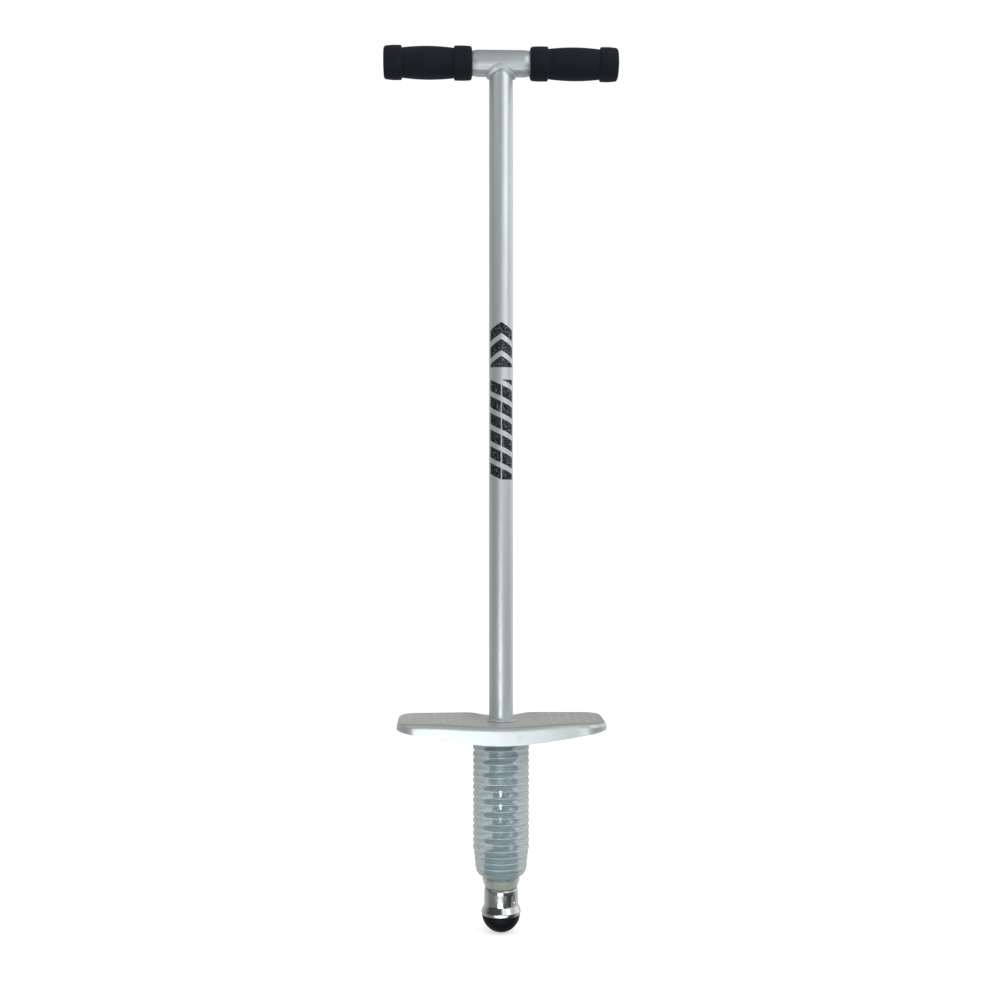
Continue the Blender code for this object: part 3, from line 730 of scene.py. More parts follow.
# %% [markdown]
# ## End plugs
#
# A bare tube end would cut through the foam and into a hand, so a plastic plug closes it. Its
# head sits flush in the grip's mouth, a little dished, with the small dimple of the gate where
# the mould was filled.


# %% Moulded black plastic
def moulded(name, colour, base_rough=0.42, grain=0.06):
    """Plain moulded plastic with a fine spark-eroded grain. Grain is its depth in millimetres."""
    finish = Finish(name, colour, specular_ior_level=0.5)
    skin = finish.noise(1800.0, 3.0, 0.6)
    drift = finish.noise(60.0, 3.0, 0.55)
    lighter = tuple(min(1.0, channel * 1.25 + 0.004) for channel in colour)
    finish.colours(drift.ramp(0.4, 0.7) * 0.6, colour, lighter)
    finish.feed("Roughness", skin * 0.12 + drift * 0.08 + base_rough)
    finish.bump(skin, grain * MM, 0.5)
    return finish


plug_plastic = moulded("plug_black_plastic", (0.016, 0.016, 0.018))


def end_plug(name, side, node):
    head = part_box("end_plug_right")[1][0] - bar_half
    stem = bore_r - GAP
    corners = [(0.0, -9.8 * MM, 0.0), (stem - 0.8 * MM, -9.8 * MM, 0.5), (stem, -8.2 * MM, 0.4)]
    corners += [(stem, GAP, 0.15), (BAR_END_R, GAP, 0.2), (BAR_END_R, head, 0.7)]
    corners += [(BAR_END_R - 2.4 * MM, head, 0.3), (BAR_END_R - 3.2 * MM, head - 0.7 * MM, 0.3)]
    corners += [(1.7 * MM, head - 0.7 * MM, 0.15), (1.2 * MM, head - 1.1 * MM, 0.15)]
    corners.append((0.0, head - 1.1 * MM, 0.0))
    made = turned(name, corners, plug_plastic, 72, ring=False, place=on_bar(side, bar_half))
    fitted(made, "frame", node)


end_plug("bar_plug_left", -1.0, "end_plug_left")
end_plug("bar_plug_right", 1.0, "end_plug_right")

# %% [markdown]
# ## The footplate
#
# The footplate is one pressing: a flat blank with a skirt folded down all round, deepest in the
# middle, where it carries the load. The top dips in a fan towards the tube, and the long sides
# bow a little. Each of these is written as a rule that gives a height or a depth from the place
# on the plan, so that the tread can follow the same rules later.

# %% How the footplate is shaped
VALLEY = 3.0 * MM
VALLEY_FLAT = 12.0 * MM
VALLEY_END = 34.0 * MM
VALLEY_FRONT_END = 80.0 * MM
SIDE_BOW = 2.8 * MM
BOW_X = 80.0 * MM
plate_top_z = plate_high[2]
skirt_low_z = plate_low[2]
half_x = plate_high[0]
half_y = plate_high[1]
SKIRT_RISE = 8.7 * MM
SKIRT_RISE_X = 0.7246 * half_x


def eased(share):
    held = min(max(share, 0.0), 1.0)
    return held * held * (3.0 - 2.0 * held)


def valley_drop(x, y):
    """The dish round the tube: a fan, narrow at the back and wide at the front edge."""
    front = eased(0.5 - 0.5 * y / half_y)
    flat = VALLEY_FLAT * (1.0 - front)
    end = VALLEY_END + front * (VALLEY_FRONT_END - VALLEY_END)
    return VALLEY * (1.0 - eased((abs(x) - flat) / (end - flat)))


def bowed(x, y):
    """The plan's long sides drawn in a little towards the ends, so that they run in a bow."""
    return y * (1.0 - SIDE_BOW / half_y * min(1.0, abs(x) / BOW_X) ** 2)


def skirt_edge_z(x):
    return skirt_low_z + SKIRT_RISE * (abs(x) / SKIRT_RISE_X) ** 1.6


print("the skirt rises", round((skirt_edge_z(half_x) - skirt_low_z) / MM, 1), "mm to the ends")

# %% [markdown]
# The plan is a rectangle with its corners bevelled round. Drawing its border down makes the
# skirt, and bevelling the border rolls the fold. Slicing the sheet across gives it enough points
# to dip at the tube and to rise along the skirt's lower edge.

# %% Press the footplate
FOLD_R = 5.0 * MM
PLAN_CORNER_R = 22.0 * MM
SKIRT_BLANK = 30.0 * MM  # the skirt's depth before it is shaped
bm = bmesh.new()
bmesh.ops.create_grid(bm, x_segments=1, y_segments=1, size=1.0)
bmesh.ops.scale(bm, vec=(half_x, half_y, 1.0), verts=bm.verts)
rolling = {"offset_type": "OFFSET", "profile": 0.5, "material": -1}
bmesh.ops.bevel(bm, geom=bm.verts[:], offset=PLAN_CORNER_R, segments=18, affect="VERTICES", **rolling)
border = [edge for edge in bm.edges if edge.is_boundary]
lower = drawn_out(bm, border)[1]
bmesh.ops.translate(bm, verts=lower, vec=(0.0, 0.0, -SKIRT_BLANK))
bmesh.ops.recalc_face_normals(bm, faces=bm.faces)
fold = [edge for edge in bm.edges if edge.is_manifold and edge.calc_face_angle(0.0) > 1.0]
bmesh.ops.bevel(bm, geom=fold, offset=FOLD_R, segments=7, affect="EDGES", **rolling)
slices = [((4.0 * MM * k, 0.0, 0.0), (1, 0, 0)) for k in range(-26, 27)]
slices += [((0.0, 0.0, z * MM), (0, 0, 1)) for z in (-29.0, -20.0, -12.0, -6.0)]
slices += [((0.0, 4.5 * MM * k, 0.0), (0, 1, 0)) for k in range(-9, 10)]
for place, across in slices:
    everything = bm.verts[:] + bm.edges[:] + bm.faces[:]
    bmesh.ops.bisect_plane(bm, geom=everything, plane_co=place, plane_no=across)
for vert in bm.verts:
    fold_z = plate_top_z - valley_drop(vert.co.x, vert.co.y) - FOLD_R
    down = (-FOLD_R - vert.co.z) / (SKIRT_BLANK - FOLD_R)
    if down > 0.0:
        vert.co.z = fold_z + (skirt_edge_z(vert.co.x) - fold_z) * down
    else:
        vert.co.z += fold_z + FOLD_R
    vert.co.y = bowed(vert.co.x, vert.co.y)
print("the pressed sheet has", len(bm.faces), "faces")

# %% [markdown]
# The sheet gets its thickness last, then the hole for the tube, and the cut edges are eased, as
# they are on the real pressing before it is painted.

# %% Finish the footplate
SHEET = 2.0 * MM
plate = piece("pressed_footplate", bm, plate_paint)
thickened(plate, SHEET)
drilled(plate, tube_r + 2.0 * GAP, 20.0 * MM, Matrix.Translation((0.0, 0.0, plate_top_z)))
edge_round = plate.modifiers.new("edge", "BEVEL")
edge_round.width = 0.5 * MM
edge_round.segments = 2
edge_round.limit_method = "ANGLE"
edge_round.angle_limit = math.radians(50.0)
applied(plate)
fitted(plate, "frame", "footplate")

# %% [markdown]
# ## The tread
#
# Each wing has rows of small bumps, pushed up from below in the press, so that a wet shoe holds.
# A bump's section is a quarter of an ellipse, steep at its foot, so that its front catches the
# light. The bumps are paler than the sheet, partly from the rub of shoes and partly as a painted
# highlight. One bump is spun and copied along the staggered rows.

# %% Make the tread
DOT_R = 1.8 * MM
DOT_RISE = 0.7 * MM
DOT_PITCH = 18.0 * MM
ROW_PITCH = 9.3 * MM
DOT_CLEAR = 9.0 * MM  # from a bump's middle to the plate's edge
# Tread colours: shoe wear and a painted highlight together.
RUBBED_AND_HIGHLIT_PAINT = (0.62, 0.66, 0.65)
BARE_AND_HIGHLIT_PAINT = (0.80, 0.82, 0.79)


def tread_places():
    """Where the bumps go: staggered rows over both wings, kept off the fold and the valley."""
    places = []
    for row in range(-3, 4):
        y = row * ROW_PITCH
        shift = 0.5 * DOT_PITCH if row % 2 else 0.0
        for column in range(4):
            x = VALLEY_END + 10.0 * MM + shift + column * DOT_PITCH
            over = min(PLAN_CORNER_R, max(0.0, x - (half_x - PLAN_CORNER_R)))
            room = half_y - PLAN_CORNER_R + math.sqrt(max(0.0, PLAN_CORNER_R**2 - over**2))
            if x < half_x - DOT_CLEAR and abs(y) < room - DOT_CLEAR:
                places += [(x, y), (-x, y)]
    return places


tread = bmesh.new()
dot_section = []
for k in range(7):
    lean_out = 0.5 * math.pi * k / 6
    dot_section.append((DOT_R * math.sin(lean_out), DOT_RISE * math.cos(lean_out)))
dot_section += [(DOT_R, -0.3 * MM), (0.0, -0.3 * MM)]
# Paler than the sheet: partly shoe wear, partly a painted highlight on the bumps.
rubbed_and_highlit_tread = Finish("worn_tread_paint", (0.72, 0.75, 0.73), metallic=0.35)
rubbed = rubbed_and_highlit_tread.noise(500.0, 3.0, 0.6)
rubbed_and_highlit_tread.colours(rubbed, RUBBED_AND_HIGHLIT_PAINT, BARE_AND_HIGHLIT_PAINT)
rubbed_and_highlit_tread.feed("Roughness", rubbed * 0.2 + 0.35)
for x, y in tread_places():
    dot = spun(dot_section, 20, ring=False)
    bmesh.ops.translate(dot, verts=dot.verts, vec=(x, bowed(x, y), plate_top_z - valley_drop(x, y)))
    loose = bpy.data.meshes.new("dot")
    dot.to_mesh(loose)
    dot.free()
    tread.from_mesh(loose)
    bpy.data.meshes.remove(loose)
tread_bumps = piece("tread_bumps", tread, rubbed_and_highlit_tread)
fitted(tread_bumps, "frame", "footplate")
print(len(tread_places()), "bumps")

# %% [markdown]
# ## Under the plate
#
# A steel cup takes the push of the spring and carries the bellows' cuff, which is held by a
# band. These hide inside the skirt, but they show from below, so they get their turned edges and
# a zinc plated finish.


# %% Plated steel
def plated(name, colour, base_rough=0.32):
    """Zinc plated or bright steel with fine turning lines and a slightly cloudy skin."""
    finish = Finish(name, colour, metallic=1.0)
    clouds = finish.noise(130.0, 4.0, 0.6)
    lines = finish.noise(60.0, 2.0, 0.6, place=finish.stretched((1.0, 1.0, 90.0)))
    darker = tuple(channel * 0.75 for channel in colour)
    finish.colours(clouds.ramp(0.4, 0.7), colour, darker)
    finish.feed("Roughness", clouds * 0.14 + lines * 0.10 + base_rough)
    finish.bump(lines, 0.03 * MM, 0.4)
    return finish


def four_corners(inner, outer, low, high, *rounds):
    """A plain section whose corner radii start at its inner low corner."""
    corners = [(inner, low), (outer, low), (outer, high), (inner, high)]
    return [(*corner, size) for corner, size in zip(corners, rounds)]


zinc = plated("zinc_plate", (0.56, 0.57, 0.58))
clip_plastic = moulded("band_black_plastic", (0.022, 0.022, 0.024))
cup_rim_r, cup_low, cup_high = upright("spring_cup")
cup_r = cup_rim_r - 1.7 * MM
cup_floor_z = cup_high - 2.0 * MM
cup_corners = [
    (tube_r + GAP, cup_high, 0.3),
    (tube_r + GAP, cup_floor_z, 0.3),
    (cup_r - 2.0 * MM, cup_floor_z, 1.0),
    (cup_r - 2.0 * MM, cup_low, 0.5),
    (cup_r, cup_low, 0.5),
    (cup_r, cup_floor_z, 0.2),
    (cup_rim_r, cup_floor_z, 0.4),
    (cup_rim_r, cup_high, 0.4),
]
fitted(turned("turned_spring_cup", cup_corners, zinc, 96), "frame", "spring_cup")
washer_r, washer_low, washer_high = upright("upper_spring_washer")
washer_corners = four_corners(tube_r + GAP, washer_r, washer_low, washer_high, 0.3, 0.4, 0.4, 0.3)
washer = turned("spring_washer", washer_corners, zinc, 96)
fitted(washer, "frame", "upper_spring_washer")
clip_r, clip_low, clip_high = upright("bellows_clip")
cuff_r = clip_r - 1.5 * MM - GAP
clip_corners = [
    (cuff_r + GAP, clip_low, 0.2),
    (clip_r, clip_low, 0.6),
    (clip_r, clip_low + 2.6 * MM, 0.3),
    (clip_r - 0.4 * MM, clip_low + 3.0 * MM, 0.2),
    (clip_r - 0.4 * MM, clip_high - 3.0 * MM, 0.2),
    (clip_r, clip_high - 2.6 * MM, 0.3),
    (clip_r, clip_high, 0.6),
    (cuff_r + GAP, clip_high, 0.2),
]
clip = turned("cuff_band", clip_corners, clip_plastic, 96)
fitted(clip, "frame", "bellows_clip")

# %% [markdown]
# ## The spring
#
# The spring is cold-wound from hard wire and enamelled a dark blue-grey. Its lowest coils touch,
# so they carry no load and seat it squarely; the rest are evenly open. A helix is a loop: a step
# round, and a step up that grows from the closed pitch to the open one. A round bevel on the
# curve gives the wire.

# %% Wind the spring
spring_r, spring_low, spring_high = upright("main_spring")
WIRE_R = 2.5 * MM
COIL_R = 16.0 * MM
CLOSED_PITCH = 5.4 * MM
CLOSED_LOW, OPEN_TURNS, CLOSED_TOP = 4, 10, 1
STEPS_ROUND = 40


def wire_path():
    """Points along the wire's centre line, from the bottom coil up."""
    turns = CLOSED_LOW + OPEN_TURNS + CLOSED_TOP
    low = spring_low + WIRE_R
    rise = spring_high - WIRE_R - low
    open_extra = (rise - CLOSED_PITCH * turns) / (OPEN_TURNS - 1)
    z = low
    points = []
    for step in range(turns * STEPS_ROUND + 1):
        heading = 2.0 * math.pi * step / STEPS_ROUND
        points.append((COIL_R * math.cos(heading), COIL_R * math.sin(heading), z))
        turn = (step + 0.5) / STEPS_ROUND
        opening = min(turn - CLOSED_LOW, turns - CLOSED_TOP - turn)
        z += (CLOSED_PITCH + open_extra * min(max(opening, 0.0), 1.0)) / STEPS_ROUND
    return points


ENAMEL_FULL = (0.165, 0.275, 0.34)
ENAMEL_THIN = (0.235, 0.36, 0.425)


def enamel(name):
    """Dark blue-grey stoving enamel on wire, thin and slightly uneven."""
    finish = Finish(name, (0.15, 0.24, 0.30), metallic=0.3, coat_weight=0.35, coat_roughness=0.2)
    drift = finish.noise(90.0, 3.0, 0.6)
    grain = finish.noise(2200.0, 2.0, 0.5)
    finish.colours(drift, ENAMEL_FULL, ENAMEL_THIN)
    finish.feed("Roughness", drift * 0.12 + grain * 0.08 + 0.30)
    finish.bump(grain, 0.04 * MM, 0.4)
    return finish


path = wire_path()
curve = bpy.data.curves.new("wire", "CURVE")
curve.dimensions = "3D"
curve.bevel_depth = WIRE_R
curve.bevel_resolution = 5
curve.use_fill_caps = True
strand = curve.splines.new("POLY")
strand.points.add(len(path) - 1)
for point, place in zip(strand.points, path):
    point.co = (*place, 1.0)
wound = new_object("wire", curve)
bm = bmesh.new()
bm.from_mesh(final_mesh(wound))
bpy.data.objects.remove(wound, do_unlink=True)
bmesh.ops.remove_doubles(bm, verts=bm.verts, dist=1e-6)
bmesh.ops.recalc_face_normals(bm, faces=bm.faces)
spring = piece("wound_spring", bm, enamel("spring_enamel"))
spring_long = spring_high - spring_low
fitted(spring, "frame", "main_spring")
spring_keep = 1.0 - travel / spring_long
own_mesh(spring)
print("the spring keeps", round(spring_keep, 3), "of its length when pressed home")

# %% [markdown]
# ## The bellows
#
# The bellows is blow-moulded from unpigmented plastic: thin, milky and half see-through. It
# keeps grit off the spring and fingers out of it. The ribs are rounded outside with narrow
# grooves between, so they fold like a bag. It is made as three pieces that meet in grooves: a cuff
# that stays on the cup, the ribs, and a neck that goes up with the plunger. One repeated rib
# section does for all the ribs.

# %% Milky plastic
MILKY = (0.76, 0.79, 0.73)
MILKY_BLUE = (0.49, 0.655, 0.70)
# Crest colour: fold whitening and a painted highlight together.
CREST_WHITE_AND_HIGHLIGHT = (0.88, 0.93, 0.95)


def milky(name):
    """Milky plastic: crests whitened by folding and by a painted highlight, denser where seen aslant."""
    finish = Finish(name, MILKY, ior=1.55, coat_weight=0.2, coat_roughness=0.10)
    drift = finish.noise(45.0, 3.0, 0.6)
    fold = finish.add("ShaderNodeAttribute", {"attribute_name": "fold"}, out="Fac")
    aslant = finish.add("ShaderNodeLayerWeight", None, {"Blend": 0.35}, out="Facing")
    # White crest lines: partly stress whitening, partly a painted highlight kept to where the wall faces
    # the view.
    white = fold.ramp(0.45, 1.0) * (1.0 - aslant)
    plain = finish.blend(aslant.ramp(0.15, 0.75), MILKY_BLUE, MILKY)
    finish.colours(white * 0.9, plain, CREST_WHITE_AND_HIGHLIGHT)
    finish.feed("Roughness", drift * 0.10 + 0.20)
    finish.feed("Alpha", drift * 0.04 + white * 0.30 + aslant * 0.32 + 0.28)
    finish.bump(finish.noise(700.0, 2.0, 0.5), 0.03 * MM, 0.2)
    return finish


bellows_plastic = milky("bellows_milky_plastic")
print("the bellows plastic is", bellows_plastic.material.name)

# %% [markdown]
# The ribs are a sine with its hollows drawn narrow. The last three are smaller and step inwards,
# which leads the wall down to the neck.

# %% The rib section
crest_r, bellows_low, bellows_high = upright("bellows")
RIB_DEPTH = 2.0 * MM
BELLOWS_WALL = 1.1 * MM
RIBS = 17
SMALL_RIBS = 3
groove_r = crest_r - RIB_DEPTH
cuff_low = cup_low
first_crest_z = cuff_low - 2.8 * MM
shoulder_z = bellows_low + 20.1 * MM
rib_pitch = (first_crest_z - shoulder_z) / (RIBS - 0.5 + SMALL_RIBS * 0.92)
ribs_top_z = first_crest_z + 0.5 * rib_pitch
POINTS_PER_RIB = 10


def rib_swell(turn):
    """How far the wall stands out, from 0 in a groove to 1 on a crest."""
    return abs(math.sin(math.pi * turn)) ** 0.75


def ribs_wall():
    """The outside of the ribs, from the top groove down, as (radius, height)."""
    points = []
    for step in range(RIBS * POINTS_PER_RIB + 1):
        turn = step / POINTS_PER_RIB
        points.append((groove_r + RIB_DEPTH * rib_swell(turn), ribs_top_z - rib_pitch * turn))
    z = points[-1][1]
    pitch = 0.92 * rib_pitch
    for k in range(SMALL_RIBS):
        groove = groove_r - 0.6 * MM * k
        for step in range(1, POINTS_PER_RIB + 1):
            turn = step / POINTS_PER_RIB
            lean = 0.6 * MM * turn
            points.append((groove - lean + (1.2 - 0.1 * k) * MM * rib_swell(turn), z - pitch * turn))
        z -= pitch
    return points


ribs_outside = ribs_wall()
groove_low_r, ribs_low_z = ribs_outside[-1]
print(RIBS + SMALL_RIBS, "ribs, one every", round(rib_pitch / MM, 2), "mm")

# %% [markdown]
# Each piece is a thin wall behind its outside line. Its crests are marked on the mesh, and the
# finish whitens them there: partly the whitening of folded plastic, partly a painted highlight.


# %% Make the bellows
def shell(name, outside, finish, crests=()):
    """A thin wall behind an outside line, spun all round, with its folds marked."""
    outside = [tuple(point) for point in outside]
    inside = [(r - BELLOWS_WALL, z) for r, z in reversed(outside)]
    made = piece(name, spun(outside + inside, 128), finish)
    fold = made.data.attributes.new("fold", "FLOAT", "POINT")
    for vert, mark in zip(made.data.vertices, fold.data):
        near = [1.0 - abs(vert.co.z - z) / (0.14 * rib_pitch) for z in crests]
        mark.value = max([0.0, *near]) if vert.co.xy.length > groove_low_r - BELLOWS_WALL else 0.0
    return made


crest_points = ribs_outside[POINTS_PER_RIB // 2 :: POINTS_PER_RIB]
ribs = shell("bellows_ribs", ribs_outside, bellows_plastic, [z for r, z in crest_points])
fitted(ribs, "frame", "bellows")
ribs_keep = 1.0 - travel / (ribs_top_z - ribs_low_z)
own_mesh(ribs)
cuff_corners = [(cuff_r, bellows_high, 0.0), (cuff_r, ribs_top_z + 1.0 * MM, 0.8)]
cuff_corners.append((groove_r, ribs_top_z, 0.0))
cuff = shell("bellows_cuff", rounded(cuff_corners, ring=False), bellows_plastic)
fitted(cuff, "frame", "bellows")
seat_r, seat_low, seat_high = upright("lower_spring_seat")
neck_r = spring_r + 1.6 * MM
neck_rim_r = seat_r + 1.5 * MM
neck_corners = [
    (groove_low_r, ribs_low_z, 0.0),
    (groove_low_r + 0.5 * MM, ribs_low_z - 1.6 * MM, 1.5),
    (neck_r + 4.4 * MM, bellows_low + 14.2 * MM, 4.0),
    (neck_r + 0.2 * MM, bellows_low + 12.0 * MM, 1.2),
    (neck_r, bellows_low + 6.8 * MM, 5.0),
    (neck_rim_r + 0.3 * MM, bellows_low + 1.0 * MM, 1.5),
    (neck_rim_r, bellows_low, 0.0),
]
neck = shell("bellows_neck", rounded(neck_corners, ring=False, fineness=8), bellows_plastic)
fitted(neck, "plunger", "bellows")
print("ribs fold to", round(ribs_keep, 3), "of", round(ribs_top_z - ribs_low_z, 4), "m")

# %% [markdown]
# ## Guide, stop pin and slider
#
# Inside the tube, nylon runs on chrome: a bush in the tube's mouth and a slider on the plunger's
# top. The stop pin crosses both walls of the tube and the long slot of the plunger, so the
# plunger can neither fall out nor turn.

# %% Make the guide parts
nylon = moulded("natural_nylon", (0.66, 0.645, 0.56), 0.38, 0.03)
pin_steel = plated("stop_pin_steel", (0.22, 0.22, 0.23), 0.30)
bush_r, bush_low, bush_high = upright("guide_bush")
plunger_r, plunger_low_z, plunger_top_z = upright("plunger_tube")
bush_corners = [
    (plunger_r + GAP, bush_low, 0.4),
    (bush_r, bush_low, 0.6),
    (bush_r, mouth_z - GAP, 0.3),
    (tube_bore_r - GAP, mouth_z - GAP, 0.0),
    (tube_bore_r - GAP, bush_high, 0.4),
    (plunger_r + GAP, bush_high, 0.3),
]
bush = turned("nylon_guide_bush", bush_corners, nylon, 96)
fitted(bush, "frame", "guide_bush")
pin_low, pin_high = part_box("stop_pin")
pin_half = 0.5 * (pin_high[0] - pin_low[0])
pin_corners = four_corners(0.0, pin_r, -pin_half, pin_half, 0.0, 0.5, 0.5, 0.0)
pin = turned("cross_stop_pin", pin_corners, pin_steel, 40, ring=False, place=lying_at(pin_z))
fitted(pin, "frame", "stop_pin")
slider_r, slider_low, slider_high = upright("plunger_slider")
PLUNGER_WALL = 2.0 * MM
plunger_bore = plunger_r - PLUNGER_WALL
stem_r = plunger_bore - GAP
slider_corners = [
    (0.0, slider_low, 0.0),
    (stem_r, slider_low, 1.0),
    (stem_r, plunger_top_z + GAP, 0.0),
    (slider_r, plunger_top_z + GAP, 0.4),
    (slider_r, slider_high, 1.0),
    (4.0 * MM, slider_high, 0.4),
    (3.2 * MM, slider_high - 2.0 * MM, 0.3),
    (0.0, slider_high - 2.0 * MM, 0.0),
]
slider = turned("nylon_slider", slider_corners, nylon, 96, ring=False)
fitted(slider, "plunger", "plunger_slider")

# %% [markdown]
# ## Chrome
#
# The plunger is ground, chromed tube, and the foot cup is pressed steel with the same plating.
# Chrome is a mirror, so its look is what stands round it. All that it has of its own is a faint
# haze: fingerprints, and lines along the way the plunger runs.


# %% Chrome plate
CHROME = (0.56, 0.585, 0.595)
CHROME_SMEARED = (0.44, 0.46, 0.47)


def chrome(name, base_rough, waves):
    finish = Finish(name, CHROME, metallic=1.0)
    smears = finish.noise(55.0, 4.0, 0.65)
    dust = finish.noise(1500.0, 3.0, 0.7).ramp(0.62, 0.75)
    finish.colours(smears.ramp(0.45, 0.8) * 0.5, CHROME, CHROME_SMEARED)
    finish.feed("Roughness", smears * 0.07 + dust * 0.10 + base_rough)
    finish.bump(finish.noise(75.0, 2.0, 0.5), 0.4 * MM, waves)
    return finish


plunger_chrome = chrome("plunger_chrome_plate", 0.12, 0.05)
cup_chrome = chrome("foot_chrome_plate", 0.17, 0.35)
ends_z = (plunger_low_z, plunger_top_z)
plunger_corners = four_corners(plunger_bore, plunger_r, *ends_z, 0.3, 0.4, 0.5, 0.3)
plunger = turned("chromed_plunger", plunger_corners, plunger_chrome, 96)
slot_top = pin_z
slot_low = pin_z - travel
for z in (slot_top, slot_low):
    drilled(plunger, pin_r + GAP, 3.0 * plunger_r, lying_at(z))
bm = bmesh.new()
bmesh.ops.create_cube(bm, size=1.0)
bmesh.ops.scale(bm, vec=(3.0 * plunger_r, 2.0 * (pin_r + GAP), slot_top - slot_low), verts=bm.verts)
bmesh.ops.translate(bm, verts=bm.verts, vec=(0.0, 0.0, 0.5 * (slot_top + slot_low)))
cut_away(plunger, bm)
fitted(plunger, "plunger", "plunger_tube")

# %% [markdown]
# ## The foot
#
# The foot is a stack: the spring's lower seat, a chromed cup, a steel disc and the rubber
# tip that is moulded on it. The cup's mouth is rolled into a fat bead that grips the rubber. A
# cross pin holds the cup on the plunger; its domed end is the bright dot on the side.

# %% Make the foot
seat_plastic = moulded("seat_natural_plastic", (0.60, 0.49, 0.17), 0.34, 0.03)
seat_corners = four_corners(plunger_r + GAP, seat_r, seat_low, seat_high, 0.3, 1.2, 0.4, 0.3)
seat = turned("spring_seat_ring", seat_corners, seat_plastic, 96)
fitted(seat, "plunger", "lower_spring_seat")
bead_r, ferrule_low, ferrule_high = upright("foot_ferrule")
FERRULE_R = 17.9 * MM
bead_z = ferrule_low + 2.5 * MM
disc_r, disc_low, disc_high = upright("tip_washer")
shoulder_in_z = disc_high + GAP
cavity_r = disc_r + GAP
ferrule_corners = [
    (plunger_r + GAP, shoulder_in_z, 0.3),
    (plunger_r + GAP, ferrule_high, 0.5),
    (FERRULE_R - 0.3 * MM, ferrule_high, 2.2),
    (FERRULE_R, ferrule_high - 5.0 * MM, 8.0),
    (FERRULE_R + 0.1 * MM, bead_z + 7.8 * MM, 5.0),
    (bead_r + 0.35 * MM, bead_z + 1.0 * MM, 2.2),
    (bead_r - 0.3 * MM, ferrule_low, 0.7),
    (bead_r - 1.3 * MM, ferrule_low, 0.3),
    (cavity_r, disc_low - 1.0 * MM, 0.6),
    (cavity_r, shoulder_in_z, 0.4),
]
ferrule = turned("chromed_foot_cup", ferrule_corners, cup_chrome, 144, fineness=8)
foot_pin_z, foot_pin_r = lying("foot_pin")
foot_pin_turn = Matrix.Rotation(math.radians(-47.0), 4, "Z")
foot_pin_place = Matrix.Translation((0.0, 0.0, foot_pin_z)) @ foot_pin_turn @ ALONG_X
for crossed in (ferrule, plunger):
    drilled(crossed, foot_pin_r + GAP, 3.0 * FERRULE_R, foot_pin_place)
fitted(ferrule, "plunger", "foot_ferrule")
foot_pin_half = FERRULE_R - 0.4 * MM
foot_pin_corners = [
    (0.0, -foot_pin_half - 0.5 * MM, 0.0),
    (foot_pin_r, -foot_pin_half + 0.3 * MM, 0.5),
    (foot_pin_r, foot_pin_half - 0.3 * MM, 0.5),
    (0.0, foot_pin_half + 0.5 * MM, 0.0),
]
foot_pin = turned("foot_cross_pin", foot_pin_corners, zinc, 40, ring=False, place=foot_pin_place)
fitted(foot_pin, "plunger", "foot_pin")
disc_corners = four_corners(0.0, cavity_r - GAP, disc_low, disc_high, 0.0, 0.3, 0.3, 0.0)
disc = turned("tip_backing_disc", disc_corners, zinc, 72, ring=False)
fitted(disc, "plunger", "tip_washer")

# %% [markdown]
# Rubber is matt and slightly dusty, and it wears first where it strikes the ground, so the lowest
# part of the dome is rougher and greyer. The mould left a thin parting line round its widest part.


# %% Make the rubber tip
RUBBER = (0.003, 0.0045, 0.006)
RUBBER_WORN = (0.018, 0.0185, 0.019)


def rubber(name):
    finish = Finish(name, RUBBER, specular_ior_level=0.16)
    x, y, z = finish.axes()
    worn = (1.0 - z.ramp(1.0 * MM, 6.0 * MM)) * finish.noise(420.0, 4.0, 0.7).ramp(0.35, 0.65)
    grain = finish.noise(1600.0, 3.0, 0.6)
    finish.colours(worn * 0.8, RUBBER, RUBBER_WORN)
    finish.feed("Roughness", grain * 0.14 + worn * 0.2 + 0.46)
    finish.bump(grain * 0.6 + worn * 0.6, 0.12 * MM, 0.5)
    return finish


rubber_high = heights("rubber_tip")[1]
dome_r = bead_r - 0.5 * MM
tip_section = []
DOME_STEPS = 28
for step in range(DOME_STEPS + 1):
    fall = math.radians(84.0 * step / DOME_STEPS)
    lip = 0.18 * MM * math.exp(-(((math.degrees(fall) - 70.0) / 1.6) ** 2))
    reach = dome_r + lip
    tip_section.append((reach * math.sin(fall), dome_r - reach * math.cos(fall)))
collar = [(*tip_section[-1], 0.0), (bead_r - 1.7 * MM, ferrule_low - GAP, 0.3)]
collar += [(cavity_r - 0.4 * MM, rubber_high, 0.6), (0.0, rubber_high, 0.0)]
tip_section += rounded(collar, ring=False)[1:]
tip = piece("rubber_dome_tip", spun(tip_section, 128, ring=False), rubber("tip_black_rubber"))
fitted(tip, "plunger", "rubber_tip")

# %% [markdown]
# ## The studio
#
# The stick stands on a pale floor that glows a little, so that it runs into the white behind it.
# The floor is left out of reflections, which come from the room further on.

# %% Floor
FLOOR_WHITE = (0.90, 0.905, 0.91)
FLOOR_R = 7.0
FLOOR_GLOW = 0.55
floor_finish = Finish("studio_floor", FLOOR_WHITE, roughness=0.9, specular_ior_level=0.1)
floor_clouds = floor_finish.noise(1.5, 2.0, 0.5)
floor_finish.feed("Roughness", floor_clouds * 0.1 + 0.8)
floor_finish.shader.inputs["Emission Color"].default_value = (1.0, 1.0, 1.0, 1.0)
floor_finish.shader.inputs["Emission Strength"].default_value = FLOOR_GLOW
bm = bmesh.new()
bmesh.ops.create_circle(bm, cap_ends=True, segments=96, radius=FLOOR_R)
floor = piece("studio_floor", bm, floor_finish)
floor.visible_glossy = False
floor.visible_diffuse = False
print("floor radius", FLOOR_R, "m")

# %% [markdown]
# ## Lights
#
# Two soft strips stand in one leaning line by the camera, with a gap between them. On a shiny
# round tube they show as a narrow highlight that drifts from one side to the other, and fades
# where the gap is, just under the print. A low box is there for the skirt, a small card for the
# foot, and a card near the floor for the underside of the bar. A box high on the right, a small
# key and a box high on the left fill in the rest. Each is set by how bright its face is, so that
# a change of size keeps what a mirror shows of it.


